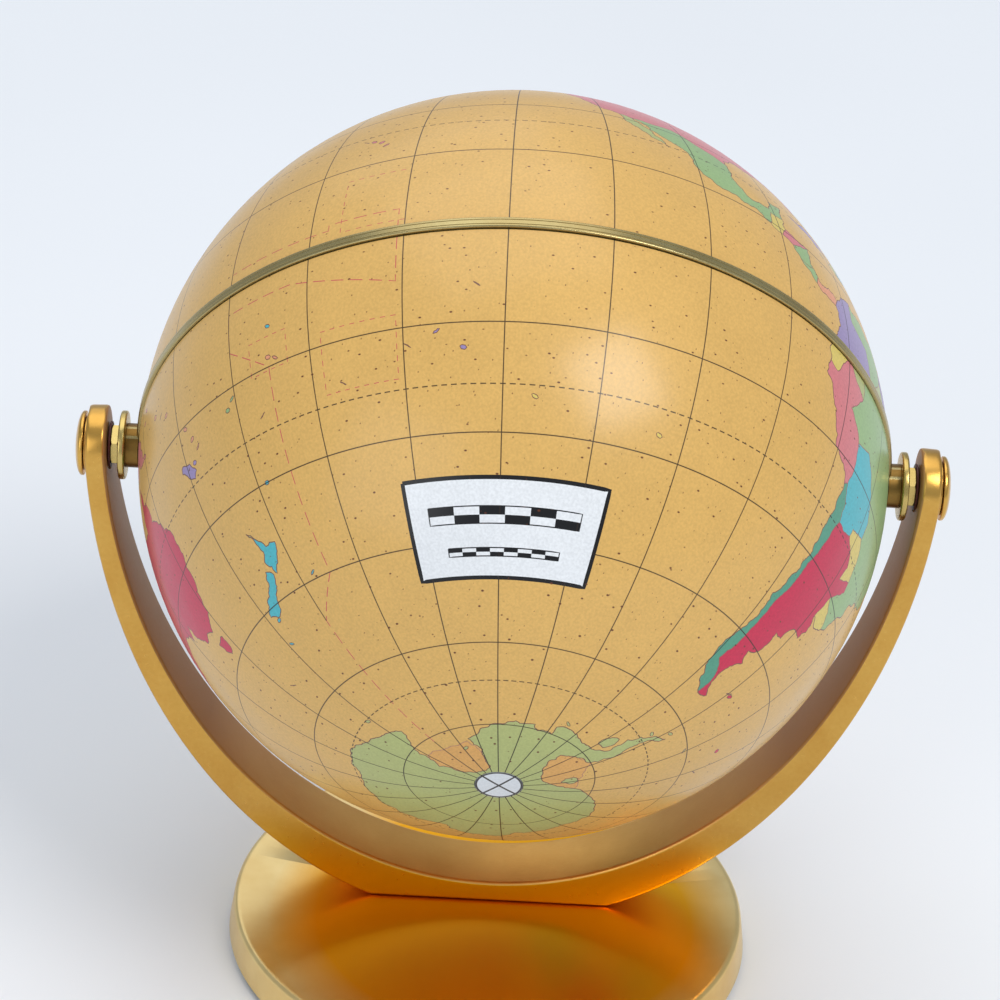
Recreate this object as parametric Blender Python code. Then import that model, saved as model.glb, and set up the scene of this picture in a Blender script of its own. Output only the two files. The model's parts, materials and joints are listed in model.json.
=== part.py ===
"""Small desktop globe in a gimbal: a fork on a round base, a ring that swings, a ball that spins.

The frame has its origin under the ball's centre, on the surface that the base stands on.  +X runs
along the swing axis, +Y runs away from the front of the stand and +Z is up.  The ball is a globe at
1:120 000 000.  Its polar axis is tipped forward, so that the south pole faces the front.
"""
from math import acos, asin, cos, pi, radians, sin, sqrt

import bmesh
import bpy

MM = 0.001

# Driving dimensions.
EARTH_DIAMETER = 12742000.0
MAP_SCALE = 120000000.0
GLOBE_R = EARTH_DIAMETER / MAP_SCALE / 2
GLOBE_TILT = radians(-65)
SHELL_WALL = 1.6 * MM
PAD_BELOW_SHELL = 0.8 * MM
BASE_TOP = 6.0 * MM
BASE_Y = -4.9 * MM
BASE_TOP_R = 37.7 * MM
BASE_RIM_R = 38.9 * MM
BASE_SHEET = 0.8 * MM
PIVOT_ABOVE_BASE = 72.0 * MM
PIVOT_Z = BASE_TOP + PIVOT_ABOVE_BASE

FORK_WIDTH = 11.0 * MM
FORK_CENTRE_RISE = 6.5 * MM
FORK_OUTER = (60.6 * MM, 82.1 * MM)
FORK_INNER = (57.7 * MM, 75.1 * MM)
FORK_SCREW_X = 13.0 * MM
FORK_SCREW_R = 1.45 * MM
FORK_SCREW_DEPTH = 2.6 * MM

RING_R = 53.5 * MM
RING_THICK = 1.6 * MM
RING_RIB_R = (49.8 * MM, 51.0 * MM)
RING_RIB_HALF = 2.0 * MM
RIM_GAP = 0.2 * MM
HUB_R = 6.0 * MM
HUB_HALF = 4.0 * MM
BAR_WIDTH = 8.0 * MM
BAR_THICK = 2.4 * MM

SHANK_R = 1.5 * MM
FORK_WASHER_R = 3.3 * MM
SPINDLE_R = 2.0 * MM
SPINDLE_HALF = 50.1 * MM
CLIP_Z = (5.35 * MM, 5.85 * MM)
CAP_R = 3.2 * MM

GAP = 0.1 * MM
RUNNING = 0.05 * MM

BALL_ROUND = 40
BASE_ROUND = 64
SMALL_ROUND = 24
SOFT_ANGLE = radians(35)


def fork_end_x(axes):
    """Distance from the ball's centre to an elliptical face of the fork, at pivot height."""
    half_width, half_height = axes
    return half_width * sqrt(1 - (FORK_CENTRE_RISE / half_height) ** 2)


FORK_END_OUT = fork_end_x(FORK_OUTER)
FORK_END_IN = fork_end_x(FORK_INNER)


# Materials and mesh helpers.

def make_material(name, colour, roughness, metallic):
    mat = bpy.data.materials.new(name)
    mat.use_nodes = True
    shader = mat.node_tree.nodes["Principled BSDF"]
    shader.inputs["Base Color"].default_value = (*colour, 1)
    shader.inputs["Roughness"].default_value = roughness
    shader.inputs["Metallic"].default_value = metallic
    return mat


def make_materials():
    looks = {
        "brushed_gold": ((0.62, 0.38, 0.09), 0.32, 1.0),
        "polished_gold": ((0.72, 0.46, 0.13), 0.18, 1.0),
        "steel": ((0.55, 0.55, 0.56), 0.35, 1.0),
        "cast_iron": ((0.10, 0.10, 0.11), 0.70, 1.0),
        "foam": ((0.03, 0.03, 0.03), 0.95, 0.0),
        "fibre": ((0.09, 0.02, 0.01), 0.60, 0.0),
        "nylon": ((0.85, 0.84, 0.80), 0.45, 0.0),
        "printed_plastic": ((0.72, 0.46, 0.22), 0.30, 0.0),
        "white_plastic": ((0.90, 0.90, 0.88), 0.30, 0.0),
    }
    return {name: make_material(name, *look) for name, look in looks.items()}


def new_object(name, mesh, mat=None, parent=None):
    obj = bpy.data.objects.new(name, mesh)
    bpy.context.scene.collection.objects.link(obj)
    obj.parent = parent
    if mat and not mesh.materials:
        mesh.materials.append(mat)
    return obj


def finish_mesh(name, bm):
    """Turn a closed bmesh into a mesh with outward faces, smooth where it is round."""
    bmesh.ops.recalc_face_normals(bm, faces=bm.faces)
    mesh = bpy.data.meshes.new(name)
    bm.to_mesh(mesh)
    bm.free()
    mesh.shade_smooth()
    mesh.set_sharp_from_angle(angle=SOFT_ANGLE)
    return mesh


def lathe_mesh(name, profile, segments=SMALL_ROUND):
    """Turn a list of (radius, height) about Z.

    The profile is closed on itself, or starts and ends on the axis.
    """
    bm = bmesh.new()
    rings = []
    for radius, height in profile:
        if radius == 0:
            rings.append([bm.verts.new((0, 0, height))])
            continue
        angles = [2 * pi * i / segments for i in range(segments)]
        rings.append([bm.verts.new((radius * cos(a), radius * sin(a), height)) for a in angles])
    on_axis = profile[0][0] == 0
    pairs = list(zip(rings, rings[1:]))
    if not on_axis:
        pairs.append((rings[-1], rings[0]))
    for low, high in pairs:
        for i in range(segments):
            j = (i + 1) % segments
            corners = [low[i % len(low)], low[j % len(low)], high[j % len(high)], high[i % len(high)]]
            bm.faces.new(list(dict.fromkeys(corners)))
    return finish_mesh(name, bm)


def prism_mesh(name, outline, low, high):
    """Raise a flat outline of (x, y) points from one height to another."""
    bm = bmesh.new()
    bottom = [bm.verts.new((x, y, low)) for x, y in outline]
    top = [bm.verts.new((x, y, high)) for x, y in outline]
    bm.faces.new(bottom)
    bm.faces.new(top)
    for i in range(len(outline)):
        j = (i + 1) % len(outline)
        bm.faces.new((bottom[i], bottom[j], top[j], top[i]))
    return finish_mesh(name, bm)


def box_mesh(name, half_x, half_y, half_z):
    outline = [(-half_x, -half_y), (half_x, -half_y), (half_x, half_y), (-half_x, half_y)]
    return prism_mesh(name, outline, -half_z, half_z)


def circle_points(radius, count, start=0.0, end=2 * pi, closed=True):
    steps = count if closed else count - 1
    angles = [start + (end - start) * i / steps for i in range(count)]
    return [(radius * cos(a), radius * sin(a)) for a in angles]


def rod_mesh(name, radius, low, high, segments=SMALL_ROUND):
    return lathe_mesh(name, [(0, low), (radius, low), (radius, high), (0, high)], segments)


def combine(obj, operation, mesh, location=(0, 0, 0), rotation=(0, 0, 0)):
    """Join a tool shape to an object, cut it out, or keep only what lies inside it."""
    tool = new_object(f"tool_{obj.name}_{len(obj.modifiers)}", mesh, parent=obj)
    tool.location = location
    tool.rotation_euler = rotation
    tool.hide_render = True
    tool.display_type = "WIRE"
    boolean = obj.modifiers.new(operation.lower(), "BOOLEAN")
    boolean.operation = operation
    boolean.solver = "EXACT"
    boolean.object = tool


def make_empty(name, parent=None):
    empty = bpy.data.objects.new(name, None)
    bpy.context.scene.collection.objects.link(empty)
    empty.parent = parent
    return empty


# Base: pressed cover, iron weight, foam pad and the two screws that hold the fork.

def screw_places():
    """The fork's screws as (suffix, x, y), with x and y measured from the base's centre."""
    return [("L", -FORK_SCREW_X, -BASE_Y), ("R", FORK_SCREW_X, -BASE_Y)]


def build_base_shell(mats):
    edge = 0.4 * MM
    bottom = PAD_BELOW_SHELL
    profile = [
        (0, BASE_TOP - BASE_SHEET),
        (BASE_TOP_R - BASE_SHEET, BASE_TOP - BASE_SHEET),
        (BASE_RIM_R - BASE_SHEET, bottom),
        (BASE_RIM_R, bottom),
        (BASE_TOP_R + edge, BASE_TOP - edge),
        (BASE_TOP_R + edge * 0.7, BASE_TOP - edge * 0.3),
        (BASE_TOP_R, BASE_TOP),
        (0, BASE_TOP),
    ]
    mesh = lathe_mesh("base_shell", profile, BASE_ROUND)
    shell = new_object("base_shell", mesh, mats["polished_gold"])
    shell.location = (0, BASE_Y, 0)
    hole = rod_mesh("screw_hole", FORK_SCREW_R + GAP, 0, 2 * BASE_TOP)
    for _, x, y in screw_places():
        combine(shell, "DIFFERENCE", hole, (x, y, 0))


def build_base_weight(mats):
    chamfer = 0.5 * MM
    radius = BASE_TOP_R - BASE_SHEET - 0.5 * MM
    low = 1.4 * MM
    high = BASE_TOP - BASE_SHEET - 0.2 * MM
    profile = [
        (0, low), (radius - chamfer, low), (radius, low + chamfer),
        (radius, high - chamfer), (radius - chamfer, high), (0, high),
    ]
    mesh = lathe_mesh("base_weight", profile, BASE_ROUND)
    weight = new_object("base_weight", mesh, mats["cast_iron"])
    weight.location = (0, BASE_Y, 0)
    head_seat = [
        (0, 0), (3.0 * MM, 0), (3.0 * MM, low + 0.4 * MM),
        (1.7 * MM, low + 1.7 * MM), (1.7 * MM, BASE_TOP), (0, BASE_TOP),
    ]
    seat = lathe_mesh("screw_seat", head_seat)
    for _, x, y in screw_places():
        combine(weight, "DIFFERENCE", seat, (x, y, 0))


def build_base_pad(mats):
    radius = BASE_TOP_R - 0.6 * MM
    soft_edge = 0.25 * MM
    profile = [
        (0, 0), (radius - soft_edge, 0), (radius, soft_edge), (radius, 1.2 * MM), (0, 1.2 * MM),
    ]
    pad = new_object("base_pad", lathe_mesh("base_pad", profile, BASE_ROUND), mats["foam"])
    pad.location = (0, BASE_Y, 0)


def build_fork_screws(mats):
    head_low = 1.5 * MM
    head_high = 2.9 * MM
    tip = BASE_TOP + FORK_SCREW_DEPTH
    shank_r = FORK_SCREW_R - GAP
    profile = [
        (0, head_low), (2.8 * MM, head_low), (2.8 * MM, head_low + 0.2 * MM), (shank_r, head_high),
        (shank_r, tip - 0.5 * MM), (shank_r - 0.4 * MM, tip), (0, tip),
    ]
    mesh = lathe_mesh("fork_screw", profile)
    socket = prism_mesh("screw_socket", circle_points(1.15 * MM, 6), 0, head_low + 0.9 * MM)
    for suffix, x, y in screw_places():
        screw = new_object(f"fork_screw_{suffix}", mesh, mats["steel"])
        screw.location = (x, BASE_Y + y, 0)
        combine(screw, "DIFFERENCE", socket)


# Fork: a flat band bent to a deep U, thicker in the bend, cut flat where it stands on the base.

def fork_stations(end_z, foot_z, bend_steps):
    """Angles along the band, from the left end round the bend to the right end."""
    half_height = FORK_OUTER[1]
    start = asin((FORK_CENTRE_RISE - end_z) / half_height)
    foot = asin((FORK_CENTRE_RISE - foot_z) / half_height)
    leg = [start + (foot - start) * i / bend_steps for i in range(bend_steps)]
    foot_steps = bend_steps // 2
    under = [foot + (pi - 2 * foot) * i / foot_steps for i in range(foot_steps + 1)]
    return leg + under + [pi - angle for angle in reversed(leg)]


def build_fork(mats):
    half_width = FORK_WIDTH / 2
    end_z = half_width + 1.0 * MM
    foot_z = GAP - PIVOT_ABOVE_BASE
    bm = bmesh.new()
    sections = []
    for angle in fork_stations(end_z, foot_z, 18):
        corners = []
        for (across, down), lowest in ((FORK_OUTER, foot_z), (FORK_INNER, -1.0)):
            x = -across * cos(angle)
            z = max(FORK_CENTRE_RISE - down * sin(angle), lowest)
            corners.append((x, z))
        (outer_x, outer_z), (inner_x, inner_z) = corners
        sections.append([
            bm.verts.new((outer_x, -half_width, outer_z)), bm.verts.new((inner_x, -half_width, inner_z)),
            bm.verts.new((inner_x, half_width, inner_z)), bm.verts.new((outer_x, half_width, outer_z)),
        ])
    for near, far in zip(sections, sections[1:]):
        for i in range(4):
            j = (i + 1) % 4
            bm.faces.new((near[i], near[j], far[j], far[i]))
    bm.faces.new(sections[0])
    bm.faces.new(sections[-1])
    fork = new_object("fork", finish_mesh("fork", bm), mats["brushed_gold"])
    fork.location = (0, 0, PIVOT_Z)

    round_end = circle_points(half_width, SMALL_ROUND, 0, pi, closed=False)
    side_view = round_end + [(-half_width, -2 * PIVOT_Z), (half_width, -2 * PIVOT_Z)]
    span = 2 * FORK_OUTER[0]
    clear_of_sides = 1.001
    outline = [(y * clear_of_sides, z) for y, z in side_view]
    rounding = prism_mesh("fork_side_view", outline, -span, span)
    combine(fork, "INTERSECT", rounding, rotation=(pi / 2, 0, pi / 2))
    along_x = (0, pi / 2, 0)
    combine(fork, "DIFFERENCE", rod_mesh("pivot_hole", SHANK_R + GAP, -span, span), rotation=along_x)
    washer_seats = rod_mesh("washer_seats", FORK_WASHER_R + 0.3 * MM, -FORK_END_IN, FORK_END_IN)
    combine(fork, "DIFFERENCE", washer_seats, rotation=along_x)
    head_seat = rod_mesh("head_seat", half_width + 1.0 * MM, FORK_END_OUT, span)
    for turn in (-pi / 2, pi / 2):
        combine(fork, "DIFFERENCE", head_seat, rotation=(0, turn, 0))
    depth = FORK_SCREW_DEPTH + 0.3 * MM
    tapped_hole = rod_mesh("tapped_hole", FORK_SCREW_R, foot_z - depth, foot_z + depth)
    for _, x, _ in screw_places():
        combine(fork, "DIFFERENCE", tapped_hole, (x, 0, 0))


# Pivot hardware.  Heights in these profiles are distances from the ball's centre along the axis.

def build_pivot_screw(mats):
    """Domed head outside the fork, with a shank that carries the swinging ring."""
    head_r = 4.6 * MM
    head_in = FORK_END_OUT + 0.45 * MM
    head_edge = head_in + 0.35 * MM
    head_out = 62.15 * MM
    shank_in = RING_R + 0.25 * MM
    dome_rise = head_out - head_edge
    dome_angles = [i * pi / 10 for i in range(5)]
    dome = [(head_r * cos(angle), head_edge + dome_rise * sin(angle)) for angle in dome_angles]
    profile = [
        (0, shank_in), (SHANK_R - 0.3 * MM, shank_in), (SHANK_R, shank_in + 0.3 * MM),
        (SHANK_R, head_in), (head_r, head_in),
        *dome, (0, head_out),
    ]
    return [("pivot_screw", lathe_mesh("pivot_screw", profile), mats["polished_gold"])]


def washer_mesh(name, inner_r, outer_r, low, high, segments=SMALL_ROUND):
    return lathe_mesh(name, [(inner_r, low), (outer_r, low), (outer_r, high), (inner_r, high)], segments)


def build_pivot_washers(mats):
    inner_r = SHANK_R + GAP
    head_washer_r = 3.9 * MM
    head_low = FORK_END_OUT + GAP
    head_high = FORK_END_OUT + 0.35 * MM
    fork_low = FORK_END_IN - 0.4 * MM
    fork_high = FORK_END_IN - GAP
    head_washer = washer_mesh("head_washer", inner_r, head_washer_r, head_low, head_high)
    fork_washer = washer_mesh("fork_washer", inner_r, FORK_WASHER_R, fork_low, fork_high)
    return [
        ("head_washer", head_washer, mats["polished_gold"]),
        ("fork_washer", fork_washer, mats["fibre"]),
    ]


def build_lock_nut(mats):
    """Thin hexagon nut that pulls the screw's head against the fork."""
    corner_r = 3.1 * MM
    nut_low = 56.0 * MM
    nut_high = FORK_END_IN - 0.5 * MM
    mesh = prism_mesh("lock_nut", circle_points(corner_r, 6), nut_low, nut_high)
    bore = rod_mesh("nut_bore", SHANK_R + GAP, 0, 2 * nut_high)
    return [("lock_nut", mesh, mats["brushed_gold"])], bore


def build_pivot_bush(mats):
    """Flanged bush pressed into the ring's boss, running on the screw's shank."""
    flange_low = 54.95 * MM
    flange_high = 55.9 * MM
    edge = 0.25 * MM
    flange_r = 4.9 * MM
    sleeve_r = 2.3 * MM
    inner_r = SHANK_R + RUNNING
    profile = [
        (inner_r, RING_R + 0.15 * MM), (sleeve_r, RING_R + 0.15 * MM), (sleeve_r, flange_low),
        (flange_r - edge, flange_low), (flange_r, flange_low + edge),
        (flange_r, flange_high - edge), (flange_r - edge, flange_high), (inner_r, flange_high),
    ]
    return [("pivot_bush", lathe_mesh("pivot_bush", profile), mats["polished_gold"])]


def build_pivots(mats, stand, swing):
    """The same stack of pieces at each end of the swing axis."""
    nut, nut_bore = build_lock_nut(mats)
    on_stand = build_pivot_screw(mats) + build_pivot_washers(mats) + nut
    for suffix, turn in (("L", -pi / 2), ("R", pi / 2)):
        for name, mesh, mat in on_stand:
            piece = new_object(f"{name}_{suffix}", mesh, mat, stand)
            piece.rotation_euler = (0, turn, 0)
            if name == "lock_nut":
                combine(piece, "DIFFERENCE", nut_bore)
        for name, mesh, mat in build_pivot_bush(mats):
            piece = new_object(f"{name}_{suffix}", mesh, mat, swing)
            piece.rotation_euler = (0, turn, 0)


# Ring: it carries the ball's hub on a cross bar, and only its edge shows, along the equator.

def build_ring(mats, swing):
    half = RING_THICK / 2
    edge = 0.3 * MM
    rib_in, rib_out = RING_RIB_R
    upper = [
        (RING_R, half - edge), (RING_R - edge, half), (rib_out, half),
        (rib_out, RING_RIB_HALF), (rib_in, RING_RIB_HALF),
    ]
    lower = [(radius, -height) for radius, height in reversed(upper)]
    ring = new_object("equator_ring", lathe_mesh("equator_ring", upper + lower, BASE_ROUND),
                      mats["brushed_gold"], swing)
    bar_half = (rib_in + rib_out) / 2
    combine(ring, "UNION", box_mesh("cross_bar", bar_half, BAR_WIDTH / 2, BAR_THICK / 2))
    combine(ring, "UNION", rod_mesh("hub", HUB_R, -HUB_HALF, HUB_HALF, 32))
    boss_r = 3.15 * MM
    boss_out = 54.9 * MM
    boss = rod_mesh("boss", boss_r, RING_R - 0.35 * MM, boss_out)
    boss_bore = rod_mesh("boss_bore", 2.4 * MM, RING_R + 0.05 * MM, 2 * RING_R)
    for turn in (-pi / 2, pi / 2):
        combine(ring, "UNION", boss, rotation=(0, turn, 0))
        combine(ring, "DIFFERENCE", boss_bore, rotation=(0, turn, 0))
    combine(ring, "DIFFERENCE", rod_mesh("hub_bore", 3.6 * MM, -2 * HUB_HALF, 2 * HUB_HALF))


def build_hub_bush(mats, swing):
    outer_r = 3.5 * MM
    half = HUB_HALF + 0.3 * MM
    mesh = washer_mesh("hub_bush", SPINDLE_R + RUNNING, outer_r, -half, half)
    new_object("hub_bush", mesh, mats["nylon"], swing)


# Ball: two hemispheres on a spindle, which turns in the ring's hub.

def sphere_arc(radius, first_angle, last_angle, steps):
    """Points on a quarter circle, as (radius, height), with angles measured up from the equator."""
    angles = [first_angle + (last_angle - first_angle) * i / steps for i in range(steps + 1)]
    return [(radius * cos(a), radius * sin(a)) for a in angles]


def build_hemispheres(mats, ball):
    """A shell with a boss at its pole, which holds the spindle's end, a screw and a cap."""
    inner_r = GLOBE_R - SHELL_WALL
    rim_z = RING_THICK / 2 + RIM_GAP
    cap_seat_r = CAP_R + GAP
    boss_r = 4.6 * MM
    boss_end = 46.0 * MM
    outside = sphere_arc(GLOBE_R, asin(rim_z / GLOBE_R), acos(cap_seat_r / GLOBE_R), 10)
    inside = sphere_arc(inner_r, acos(boss_r / inner_r), asin(rim_z / inner_r), 6)
    pole = [
        (cap_seat_r, 52.2 * MM), (2.3 * MM, 52.2 * MM), (2.3 * MM, 50.9 * MM), (1.15 * MM, 50.9 * MM),
        (1.15 * MM, SPINDLE_HALF + GAP), (SPINDLE_R + GAP, SPINDLE_HALF + GAP),
        (SPINDLE_R + GAP, boss_end), (boss_r, boss_end),
    ]
    mesh = lathe_mesh("hemisphere", outside + pole + inside, BALL_ROUND)
    for name, turn in (("north_hemisphere", 0), ("south_hemisphere", pi)):
        shell = new_object(name, mesh, mats["printed_plastic"], ball)
        shell.rotation_euler = (turn, 0, 0)


def build_spindle(mats, ball):
    tapped_r = 1.0 * MM
    tapped_end = 44.0 * MM
    groove_r = 1.6 * MM
    groove_low = CLIP_Z[0] - 0.05 * MM
    groove_high = CLIP_Z[1] + 0.05 * MM
    upper = [
        (SPINDLE_R, groove_low), (groove_r, groove_low), (groove_r, groove_high),
        (SPINDLE_R, groove_high), (SPINDLE_R, SPINDLE_HALF), (tapped_r, SPINDLE_HALF),
        (tapped_r, tapped_end), (0, tapped_end),
    ]
    lower = [(radius, -height) for radius, height in reversed(upper)]
    new_object("polar_spindle", lathe_mesh("polar_spindle", lower + upper), mats["steel"], ball)


def clip_outline():
    """Open spring clip, seen along the spindle."""
    opening = radians(50)
    inner = circle_points(1.7 * MM, 16, opening, 2 * pi - opening, closed=False)
    outer = circle_points(3.6 * MM, 16, opening * 0.6, 2 * pi - opening * 0.6, closed=False)
    return inner + list(reversed(outer))


def build_pole_pieces(mats, ball):
    """Pieces that repeat at both ends of the spindle: washer, clip, screw and cap."""
    hub_washer = washer_mesh("hub_washer", SPINDLE_R + GAP, 4.8 * MM, 4.5 * MM, 5.1 * MM)
    clip = prism_mesh("spindle_clip", clip_outline(), *CLIP_Z)
    screw_profile = [
        (0, 45.5 * MM), (0.9 * MM, 45.5 * MM), (0.9 * MM, 51.0 * MM), (2.0 * MM, 51.0 * MM),
        (2.0 * MM, 51.5 * MM), (1.4 * MM, 51.95 * MM), (0, 51.95 * MM),
    ]
    cap_low = 52.3 * MM
    crown = sphere_arc(GLOBE_R, acos(CAP_R / GLOBE_R), pi / 2, 3)[:-1]
    cap_profile = [(0, cap_low), (CAP_R, cap_low), *crown, (0, GLOBE_R)]
    pieces = [
        ("hub_washer", hub_washer, "nylon"),
        ("spindle_clip", clip, "steel"),
        ("pole_screw", lathe_mesh("pole_screw", screw_profile), "steel"),
        ("pole_cap", lathe_mesh("pole_cap", cap_profile), "white_plastic"),
    ]
    for suffix, turn in (("N", 0), ("S", pi)):
        for name, mesh, mat_name in pieces:
            piece = new_object(f"{name}_{suffix}", mesh, mats[mat_name], ball)
            piece.rotation_euler = (turn, 0, 0)


def main():
    for obj in list(bpy.data.objects):
        bpy.data.objects.remove(obj)
    mats = make_materials()
    stand = make_empty("pivot_axis")
    stand.location = (0, 0, PIVOT_Z)
    swing = make_empty("swing_frame", stand)
    swing.rotation_euler = (GLOBE_TILT, 0, 0)
    ball = make_empty("spin_frame", swing)

    build_base_shell(mats)
    build_base_weight(mats)
    build_base_pad(mats)
    build_fork_screws(mats)
    build_fork(mats)
    build_pivots(mats, stand, swing)
    build_ring(mats, swing)
    build_hub_bush(mats, swing)
    build_hemispheres(mats, ball)
    build_spindle(mats, ball)
    build_pole_pieces(mats, ball)


main()
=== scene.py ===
"""Looks for the small desktop globe: brass stand and gimbal, and a printed antique map on the ball.

The stand, the ring and the ball's shells replace their CAD nodes with finer meshes of the same size,
and the small hidden pieces keep their CAD meshes.  The map is real geometry: each hemisphere is cut
along its coasts, borders and printed lines, and its faces carry the printed colours.
"""

import json
import random
from math import acos, asin, atan2, cos, degrees, hypot, pi, radians, sin, sqrt

import bmesh
import bpy
from mathutils import Matrix, Vector
from mathutils.geometry import delaunay_2d_cdt


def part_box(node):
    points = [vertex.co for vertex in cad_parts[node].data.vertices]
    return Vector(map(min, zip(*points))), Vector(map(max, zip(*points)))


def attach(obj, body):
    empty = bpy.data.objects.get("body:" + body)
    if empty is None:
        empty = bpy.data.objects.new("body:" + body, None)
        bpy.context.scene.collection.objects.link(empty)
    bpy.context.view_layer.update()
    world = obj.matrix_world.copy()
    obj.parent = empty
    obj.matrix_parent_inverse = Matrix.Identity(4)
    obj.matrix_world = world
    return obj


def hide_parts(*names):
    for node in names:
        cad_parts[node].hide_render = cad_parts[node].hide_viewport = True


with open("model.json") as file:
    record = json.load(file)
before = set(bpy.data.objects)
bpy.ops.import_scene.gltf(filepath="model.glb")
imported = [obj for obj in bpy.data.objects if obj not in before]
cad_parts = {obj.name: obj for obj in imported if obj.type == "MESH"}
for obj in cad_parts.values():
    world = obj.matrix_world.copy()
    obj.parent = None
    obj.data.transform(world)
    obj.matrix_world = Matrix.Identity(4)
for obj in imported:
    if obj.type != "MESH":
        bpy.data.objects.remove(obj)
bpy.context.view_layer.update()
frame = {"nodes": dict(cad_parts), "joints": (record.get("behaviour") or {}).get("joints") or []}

MM = 0.001
JOINTS = {joint["name"]: joint for joint in frame["joints"]}
CENTRE = Vector(JOINTS["globe_swing"]["pos_m"])
NORTH = Vector(JOINTS["globe_spin"]["axis"])
# Turns the ball's own frame, with the north pole on +Z, to the way it stands at rest.
BALL_PLACE = Matrix.Translation(CENTRE) @ Matrix.Rotation(-acos(NORTH.z), 4, "X")
# The ball is at rest with this meridian's plane through the swing axis.
SPIN_AT_REST = 42.1


def farthest(node):
    """Distance from the ball's centre to the farthest point of a CAD node."""
    return max((vert.co - CENTRE).length for vert in frame["nodes"][node].data.vertices)


def ellipse_x(axes, height):
    """Half of an ellipse's width at a height over its middle, from its half width and half height."""
    across, down = axes
    return across * sqrt(1 - (height / down) ** 2)


# Ball.
GLOBE_R = farthest("north_hemisphere")
RIM_HALF_GAP = 1.0 * MM
SHELL_WALL = 1.6 * MM
BOSS_R = 4.6 * MM
BOSS_END_Z = 46.0 * MM
CAP_R = 3.2 * MM
CAP_LOW_Z = 52.3 * MM
CAP_SEAT_R = 3.3 * MM
CAP_SEAT_Z = 52.2 * MM
SCREW_SEAT_R = 2.3 * MM
SCREW_SEAT_Z = 50.9 * MM
SCREW_HOLE_R = 1.15 * MM
SPINDLE_SEAT_R = 2.1 * MM
SPINDLE_SEAT_Z = 50.2 * MM

# Base.
BASE_LOW, BASE_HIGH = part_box("base_shell")
BASE_CENTRE = Vector(((BASE_LOW.x + BASE_HIGH.x) / 2, (BASE_LOW.y + BASE_HIGH.y) / 2, 0))
BASE_TOP = BASE_HIGH.z
BASE_RIM_R = (BASE_HIGH.x - BASE_LOW.x) / 2
BASE_TOP_R = BASE_RIM_R - 1.2 * MM
BASE_SHEET = 0.8 * MM

# Fork.  Its faces are half ellipses, given by half width and half height.
FORK_LOW, FORK_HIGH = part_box("fork")
FORK_HALF_WIDTH = (FORK_HIGH.y - FORK_LOW.y) / 2
FORK_FOOT_Z = FORK_LOW.z
FORK_CENTRE_RISE = 6.5 * MM
FORK_OUTER = (60.6 * MM, 82.1 * MM)
FORK_INNER = (57.7 * MM, 75.1 * MM)
FORK_END_OUT = ellipse_x(FORK_OUTER, FORK_CENTRE_RISE)
FORK_END_IN = ellipse_x(FORK_INNER, FORK_CENTRE_RISE)
FORK_EDGE = 0.55 * MM
FORK_SCREW_X = 13.0 * MM
FORK_SCREW_R = 1.45 * MM
HOLE_GAP = 0.1 * MM

# Pivots, as radii and as distances from the ball's centre along the swing axis.
SHANK_R = 1.5 * MM
HEAD_R = 4.6 * MM
HEAD_IN = FORK_END_OUT + 0.45 * MM
HEAD_OUT = 62.15 * MM
BUSH_R = 2.3 * MM
FLANGE_R = 4.9 * MM
FLANGE_SPAN = (54.95 * MM, 55.9 * MM)
NUT_CORNER_R = 3.1 * MM
NUT_SPAN = (56.0 * MM, FORK_END_IN - 0.5 * MM)
HEAD_WASHER_R = 3.9 * MM
HEAD_WASHER_SPAN = (FORK_END_OUT + 0.1 * MM, FORK_END_OUT + 0.35 * MM)
FORK_WASHER_R = 3.3 * MM
FORK_WASHER_SPAN = (FORK_END_IN - 0.4 * MM, FORK_END_IN - 0.1 * MM)
WASHER_SEAT_R = FORK_WASHER_R + 0.3 * MM

# Equator ring.
RING_R = 53.5 * MM
RING_HALF = 0.8 * MM
RING_RIB_R = (49.8 * MM, 51.0 * MM)
RING_RIB_HALF = 2.0 * MM
GROOVE_Z = 0.36 * MM
GROOVE_HALF = 0.07 * MM
GROOVE_DEPTH = 0.12 * MM
RING_BOSS_R = 3.15 * MM
RING_BOSS_END = 54.9 * MM
BOSS_BORE_R = 2.4 * MM
HUB_R = 6.0 * MM
HUB_HALF = 4.0 * MM
HUB_BORE_R = 3.6 * MM
BAR_HALF_WIDTH = 4.0 * MM
BAR_HALF_THICK = 1.2 * MM


# Colours, as linear red, green and blue.

def tint(red, green, blue):
    """Turn a colour as a screen shows it, from 0 to 255, into linear light."""
    def linear(value):
        share = value / 255
        return share / 12.92 if share <= 0.04045 else ((share + 0.055) / 1.055) ** 2.4
    return linear(red), linear(green), linear(blue)


GOLD = tint(216, 171, 88)
# Painted reflection of the base on the fork's foot.
FOOT_REFLECTION_GOLD = tint(228, 172, 20)
BASE_GOLD = tint(240, 212, 148)
# Painted reflection over the middle of the base.
BASE_REFLECTION_GOLD = tint(244, 172, 12)
INNER_GOLD = tint(238, 184, 98)
# Painted shade on the fork's inner arms.
INNER_SHADE_GOLD = tint(172, 130, 84)
RING_GOLD = tint(180, 166, 118)
# Painted shade on the ring's bosses.
BOSS_SHADE_GOLD = tint(138, 108, 56)
BUSH_GOLD = tint(204, 180, 112)
STEEL = tint(176, 178, 182)
IRON = tint(92, 92, 96)
FOAM = tint(42, 42, 44)
FIBRE = tint(84, 26, 16)
NYLON = tint(226, 222, 208)
GRID_INK = tint(36, 24, 16)
SPECK_INK = tint(92, 44, 24)
CAP_WHITE = tint(222, 226, 230)
CAP_GREY = tint(208, 212, 216)
FLOOR_WHITE = tint(237, 239, 242)
FLOOR_GREY = tint(233, 235, 238)
STUDIO_WHITE = tint(226, 236, 248)
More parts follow.
